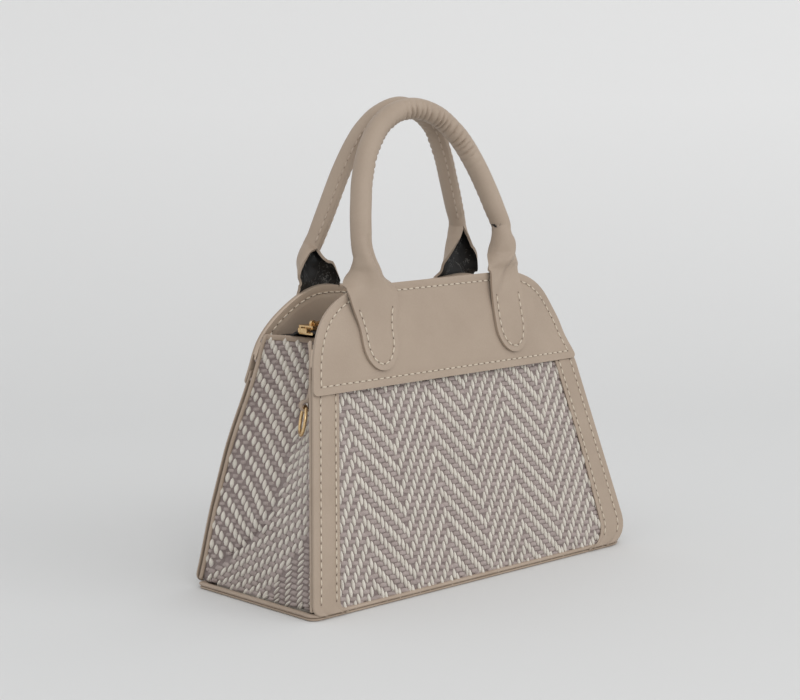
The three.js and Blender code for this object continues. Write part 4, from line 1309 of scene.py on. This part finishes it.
class Handle:
    """One rolled strip: flat tabs on the yoke, soft necks, and a tube between them."""

    def __init__(self, wall, joint_name):
        joint = next(j for j in frame["joints"] if j["name"] == joint_name)
        self.wall = wall
        self.radius = BEND_RADIUS[wall.name]
        self.pivot = Vector(joint["pos_m"]) / MM
        self.pivot_up = wall.top + PIVOT_RISE
        crown = wall.side * HANDLE_MEETING + TUBE_RADIUS + GAP
        lean = math.asin((abs(self.pivot.y) - crown) / HANDLE_HEIGHT)
        self.up = Vector((0, -wall.side * math.sin(lean), math.cos(lean)))
        self.out = Vector((0, wall.side * math.cos(lean), math.sin(lean)))
        self.points = self.middle_line()
        self.lengths = measured(self.points)
        self.span = self.lengths[-1]

    def middle_line(self):
        """The handle's line, drawn smoothly through its marks and on down at both pivots."""
        marks = [Vector(mark) for mark in HANDLE_LINES[self.wall.name]]
        around = [Vector((marks[0].x, -5)), *marks, Vector((marks[-1].x, -5))]
        line = []
        for k in range(1, len(around) - 2):
            first = around[k] + (around[k + 1] - around[k - 1]) / 6
            second = around[k + 1] - (around[k + 2] - around[k]) / 6
            line += interpolate_bezier(around[k], first, second, around[k + 1], 12)[:-1]
        return [*line, marks[-1]]

    def along(self, distance):
        """Point and direction of the strip's middle line, in the handle's own plane."""
        k, share = step_at(self.lengths, distance)
        a, b = self.points[k], self.points[k + 1]
        return a.lerp(b, share), (b - a).normalized()

    def world(self, x, y, z):
        return Vector((x, 0, 0)) + self.up * y + self.out * z

    def leg(self, hand):
        return LEGS[self.wall.name][hand]

    def closed_at(self, hand):
        """Height over the pivot from which the strip is a closed tube."""
        return self.leg(hand)[2][-1][0]

    def curl(self, height, share, hand):
        """The strip's section at a height: place across, place out, angle, and place on the flat strip."""
        width, _, rolls = self.leg(hand)
        rolled = between(rolls, height)
        radius = self.radius * (1 - NECK_PINCH * bell(height, self.closed_at(hand) + 2, 8))
        bend = max(rolled, FLATTEST_ROLL) / radius
        half = mix(width, 2 * math.pi * radius - TUBE_SLIT, rolled) / 2
        angle = bend * half * share
        middle = rolled * radius
        if self.wall is FRONT and hand > 0:
            middle = (1 - math.cos(bend * half)) / bend * mix(1, 0.5, smooth_step(height, 0, 9))
        return math.sin(angle) / bend, (math.cos(angle) - 1) / bend + middle, angle, half * share

    def neck_folds(self, height, flat_x, hand):
        """Height of the soft folds where the leather is gathered into the tube."""
        total = 0
        place = Vector((flat_x, height))
        for start, end, high, wide in NECK_FOLDS[(self.wall.name, hand)]:
            a = Vector(start)
            run = Vector(end) - a
            share = min(1, max(0, (place - a).dot(run) / run.length_squared))
            off = (place - a - run * share).length
            total += high * bell(off, 0, wide) * math.sin(math.pi * mix(0.12, 0.88, share))
        near = bell(height, self.closed_at(hand) - 4, 11)
        return total + NECK_UNEVEN * near * noise.noise(Vector((flat_x / 5, height / 6, 3 + hand)))

    def crown_wrinkles(self, distance, angle):
        """Creases of the bent tube: depth at a place along and round it."""
        off = distance - self.span / 2
        strong = smooth_step(off, -20, -2) * fade(off, 32, 68)
        weak = 0.9 * fade(off, -30, 0) * smooth_step(off, -80, -45)
        inner = bell(angle, 0.75, 1) if strong > weak else bell(angle, 1.4, 0.6)
        drift = noise.noise(Vector((off / 11, 0.3, self.wall.side)))
        phase = off / WRINKLE_PITCH + 0.6 * drift + 0.3 * math.cos(angle)
        crease = abs(math.sin(math.pi * phase)) ** 0.65
        uneven = 0.85 + 0.5 * noise.noise(Vector((off / 5, angle / 2, 7)))
        return WRINKLE_DEPTH * max(strong, weak) * inner * uneven * (crease - 0.75)

    def lowered(self, point, at):
        """A point of the handle, let down where the wall under its foot sags."""
        point.z -= self.wall.sag_at(at.x, BODY_HEIGHT) * fade(at.y, 0, NECK_SAG_HEIGHT)
        return point

    def tube_place(self, distance, share, lift):
        """A place on the strip between the two pivots; lift is along the strip's outer face."""
        at, ahead = self.along(distance)
        hand = -1 if distance < self.span / 2 else 1
        level = Vector((0, -hand)).lerp(ahead, smooth_step(at.y, 0, NECK_TURN_HEIGHT)).normalized()
        across = Vector((level.y, -level.x))
        sideways, outward, angle, flat_x = self.curl(at.y, share, hand)
        height = HANDLE_LEATHER / 2 + lift + self.neck_folds(at.y, -hand * flat_x, hand)
        if at.y > CROWN_START:
            height += self.crown_wrinkles(distance, angle)
        sideways += height * math.sin(angle)
        outward += height * math.cos(angle)
        flat = at + across * sideways
        outward -= self.wall.turn_at(flat.x, self.pivot_up) * fade(at.y, 0, NECK_SHOULDER_HEIGHT)
        tilt = across * math.sin(angle)
        normal = self.world(tilt.x, tilt.y, math.cos(angle))
        point = self.lowered(self.pivot + self.world(flat.x, flat.y, outward), at)
        return point, normal

    def tab_half(self, drop, hand):
        """Half the width of a tab, a distance below the pivot."""
        width = self.leg(hand)[0]
        change = (5, 28) if self.wall is FRONT and hand < 0 else (0, 12)
        half = mix(width, TAB_END_WIDTH, smooth_step(drop, *change)) / 2
        beyond = max(0, drop - TAB_STRAIGHT) / TAB_POINT
        return half * math.sqrt(max(0, 1 - beyond ** 2))

    def tab_place(self, drop, share, hand, lift):
        """A place on a tab, a distance below the pivot."""
        width, end_x, _ = self.leg(hand)
        half = self.tab_half(drop, hand)
        sideways, outward, _, flat_x = self.curl(-drop, share, hand)
        top_x = self.points[0 if hand < 0 else -1].x
        x = mix(top_x, end_x, drop / TAB_LENGTH) - hand * sideways * half / (width / 2)
        inside = min(half * (1 - abs(share)), (TAB_LENGTH - drop) * (1 - share * share))
        sewn = smooth_step(drop, TAB_SEAM_TOP - 6, TAB_SEAM_TOP + 2)
        out = TAB_MIDDLE + HANDLE_LEATHER / 2 - seam_groove(inside, TAB_SEAM) * sewn + lift + outward
        out += self.neck_folds(-drop, -hand * flat_x, hand)
        out += self.raised_edge(drop, -hand * share)
        return self.wall.at(x, self.pivot_up - drop, out), self.wall.normal

    def raised_edge(self, drop, world_share):
        """The left edge of a tab stands off the yoke above its stitches."""
        return TAB_EDGE_RAISE * smooth_step(-world_share, 0.3, 1) * fade(drop, 6, 26)

    def place(self, distance, share):
        if distance < 0:
            return self.tab_place(-distance, share, -1, 0)
        if distance > self.span:
            return self.tab_place(distance - self.span, share, 1, 0)
        return self.tube_place(distance, share, 0)

    def stations(self):
        """Distances along the whole strip: below 0 on the left tab, beyond the span on the right one."""
        tip = [TAB_LENGTH - TAB_POINT * (1 - math.cos(a)) for a in spread(0, math.pi / 2, math.pi / 30)]
        tab = tip[:-1] + spread(TAB_STRAIGHT, 0, 1.5)[:-1]
        return [-d for d in tab] + spread(0, self.span, 0.5) + [self.span + d for d in reversed(tab)]

    def tab_seam(self, hand):
        """The U of stitches that holds a tab."""
        left = []
        for drop in spread(TAB_SEAM_TOP, TAB_STRAIGHT, SEAM_STEP):
            half = self.tab_half(drop, hand)
            left.append((drop, -(half - TAB_SEAM) / half))
        tip = []
        for angle in spread(0, math.pi, math.pi / 14)[1:-1]:
            drop = TAB_STRAIGHT + (TAB_POINT - TAB_SEAM) * math.sin(angle)
            wide = (TAB_END_WIDTH / 2 - TAB_SEAM) * math.cos(angle)
            tip.append((drop, -wide / self.tab_half(drop, hand)))
        right = [(drop, -share) for drop, share in reversed(left)]
        return [self.tab_place(drop, share, hand, STITCH_LIFT) for drop, share in [*left, *tip, *right]]

    def closed_stations(self, inset, step):
        """Distances along the closed tube, an inset from its ends."""
        return spread(self.closed_at(-1) + inset, self.span - self.closed_at(1) - inset, step)

    def cord_line(self):
        """Middle of the cord inside the closed tube."""
        marks = [self.along(distance)[0] for distance in self.closed_stations(CORD_INSET, 3)]
        return [self.lowered(self.pivot + self.world(at.x, at.y, 0), at) for at in marks]

    def tube_seam(self, edge):
        """A row of stitches beside the closed edges of the tube."""
        share = edge * (1 - TUBE_SEAM / (math.pi * self.radius))
        return [self.tube_place(distance, share, TUBE_STITCH_LIFT)
                for distance in self.closed_stations(TUBE_SEAM_START, 2)]


def make_handle(wall):
    name = f"{wall.name}_handle"
    handle = Handle(wall, f"{name}_fall")
    bm = grid_sheet(shares_of(48), handle.stations(), lambda share, d: handle.place(d, share)[0])
    face_along(close_seams(bm), wall.normal)
    strip = make_piece(f"{name}_strip", bm, [LEATHER, BACKING], body=None,
                       stands_for=[f"{name}_cover", f"{wall.name}_left_handle_tab",
                                   f"{wall.name}_right_handle_tab"])
    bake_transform(strip)
    thicken(strip, HANDLE_LEATHER, 0.35, 1)
    make_stitches(f"{name}_tab_stitches", [handle.tab_seam(hand) for hand in (-1, 1)])
    make_stitches(f"{name}_seam_stitches", [handle.tube_seam(edge) for edge in (-1, 1)],
                  SHADED_THREAD, TUBE_STITCH_HOLE, name)
    make_piece(f"{name}_cord", tube(handle.cord_line(), CORD_RADIUS), [BLACK_CLOTH], body=name,
               stands_for=[f"{name}_core"])


# Strap ring tabs

def make_ring_tab(name):
    """Leather loop that holds a ring, softened from the solid's outline."""
    node = f"{name}_ring_tab"
    bm = bmesh.new()
    bm.from_mesh(frame["nodes"][node].data)
    bmesh.ops.scale(bm, vec=(1 / MM, 1 / MM, 1 / MM), verts=bm.verts)
    close_seams(bm, 0.01)
    bmesh.ops.dissolve_limit(bm, angle_limit=math.radians(2), verts=bm.verts, edges=bm.edges)
    tab = make_leather(f"{name}_ring_loop", bm, [node], EDGE_LEATHER)
    soften(tab, 0.3)


# Stage

CAMERA_YAW = math.radians(-42.27)
CAMERA_PITCH = math.radians(7.70)
CAMERA_ROLL = math.radians(-0.84)
CAMERA_SHIFT = (11.4, -25.7)
CAMERA_DISTANCE = 1083.1
CAMERA_AIM = Vector((0, 0, 100))
CAMERA_LENS = 84.7
CAMERA_SENSOR = 36
FLOOR_TONE = (0.75, 0.755, 0.755)
FLOOR_FRONT = -2500
FLOOR_BACK = 500
FLOOR_HALF_WIDTH = 2600
FLOOR_BEND = 700
# The backdrop's lighter tone is painted light on the same paper as the floor
PAINTED_LIGHT_BACKDROP_TONE = (0.845, 0.847, 0.847)
BACKDROP_LIGHT_FROM = 260
BACKDROP_TOP = 3000
SKY_STRENGTH = 0.7

# Soft lights, in metres and watts: place, width and power

LIGHT_AIM = Vector((0, 0, 0.1))
SOFTBOXES = {
    "key": ((1.0, -2.3, 1.2), 1.5, 13),
    "left_fill": ((-1.2, -1.8, 1.5), 1.4, 8),
    "high_front": ((-0.2, -1.5, 2.3), 1.6, 5.5),
}


def make_camera():
    back = Vector((math.sin(CAMERA_YAW) * math.cos(CAMERA_PITCH),
                   -math.cos(CAMERA_YAW) * math.cos(CAMERA_PITCH), math.sin(CAMERA_PITCH)))
    right = Vector((0, 0, 1)).cross(back).normalized()
    up = back.cross(right)
    turned_right = right * math.cos(CAMERA_ROLL) + up * math.sin(CAMERA_ROLL)
    turned_up = up * math.cos(CAMERA_ROLL) - right * math.sin(CAMERA_ROLL)
    place = CAMERA_AIM + back * CAMERA_DISTANCE
    place -= turned_right * CAMERA_SHIFT[0] + turned_up * CAMERA_SHIFT[1]
    camera = bpy.data.cameras.new("camera")
    camera.lens = CAMERA_LENS
    camera.sensor_width = CAMERA_SENSOR
    holder = bpy.data.objects.new("camera", camera)
    holder.matrix_world = frame_matrix(place * MM, turned_right, turned_up, back)
    bpy.context.scene.collection.objects.link(holder)
    bpy.context.scene.camera = holder


def make_floor():
    """A pale floor that curves up into a backdrop behind the bag."""
    turn = Matrix.Rotation(CAMERA_YAW, 3, "Z")
    flat = [(y, 0) for y in spread(FLOOR_FRONT, FLOOR_BACK, 300)]
    curve = [(FLOOR_BACK + FLOOR_BEND * math.sin(a), FLOOR_BEND * (1 - math.cos(a)))
             for a in spread(0, math.pi / 2, math.pi / 24)[1:]]
    wall = [(FLOOR_BACK + FLOOR_BEND, z) for z in spread(FLOOR_BEND, BACKDROP_TOP, 400)[1:]]
    section = [*flat, *curve, *wall]
    bm = grid_sheet(spread(-FLOOR_HALF_WIDTH, FLOOR_HALF_WIDTH, 400), range(len(section)),
                    lambda x, k: turn @ Vector((x, *section[k])))
    face_along(bm, Vector((0, 0, 1)))
    floor = make_piece("floor", bm, [pale_paper()], body=None)


def make_light():
    world = bpy.data.worlds.new("studio")
    world.use_nodes = True
    sky = world.node_tree.nodes["Background"]
    sky.inputs["Color"].default_value = (1, 1, 1, 1)
    sky.inputs["Strength"].default_value = SKY_STRENGTH
    bpy.context.scene.world = world
    for name, (place, width, power) in SOFTBOXES.items():
        light = bpy.data.lights.new(name, "AREA")
        light.shape = "SQUARE"
        light.size = width
        light.energy = power
        holder = bpy.data.objects.new(name, light)
        holder.location = place
        holder.rotation_mode = "QUATERNION"
        holder.rotation_quaternion = (LIGHT_AIM - Vector(place)).to_track_quat("-Z", "Y")
        bpy.context.scene.collection.objects.link(holder)
    bpy.context.scene.view_settings.view_transform = "Standard"


make_camera()
make_floor()
make_light()
for wall in (FRONT, BACK):
    make_yoke(wall)
    make_facing(wall)
    make_wall_cloth(wall)
    make_stiffener(wall)
    make_handle(wall)
    for hand, name in ((-1, "left"), (1, "right")):
        make_strip(wall, hand, name)
        make_piping(wall, hand, name)
for side, name in ((-1, "left"), (1, "right")):
    make_gusset(side, name)
    make_gusset_binding(side, name)
    make_ring_tab(name)
make_base()
make_lining()
for wall in (FRONT, BACK):
    make_zip_tape(wall)
finish_metal()
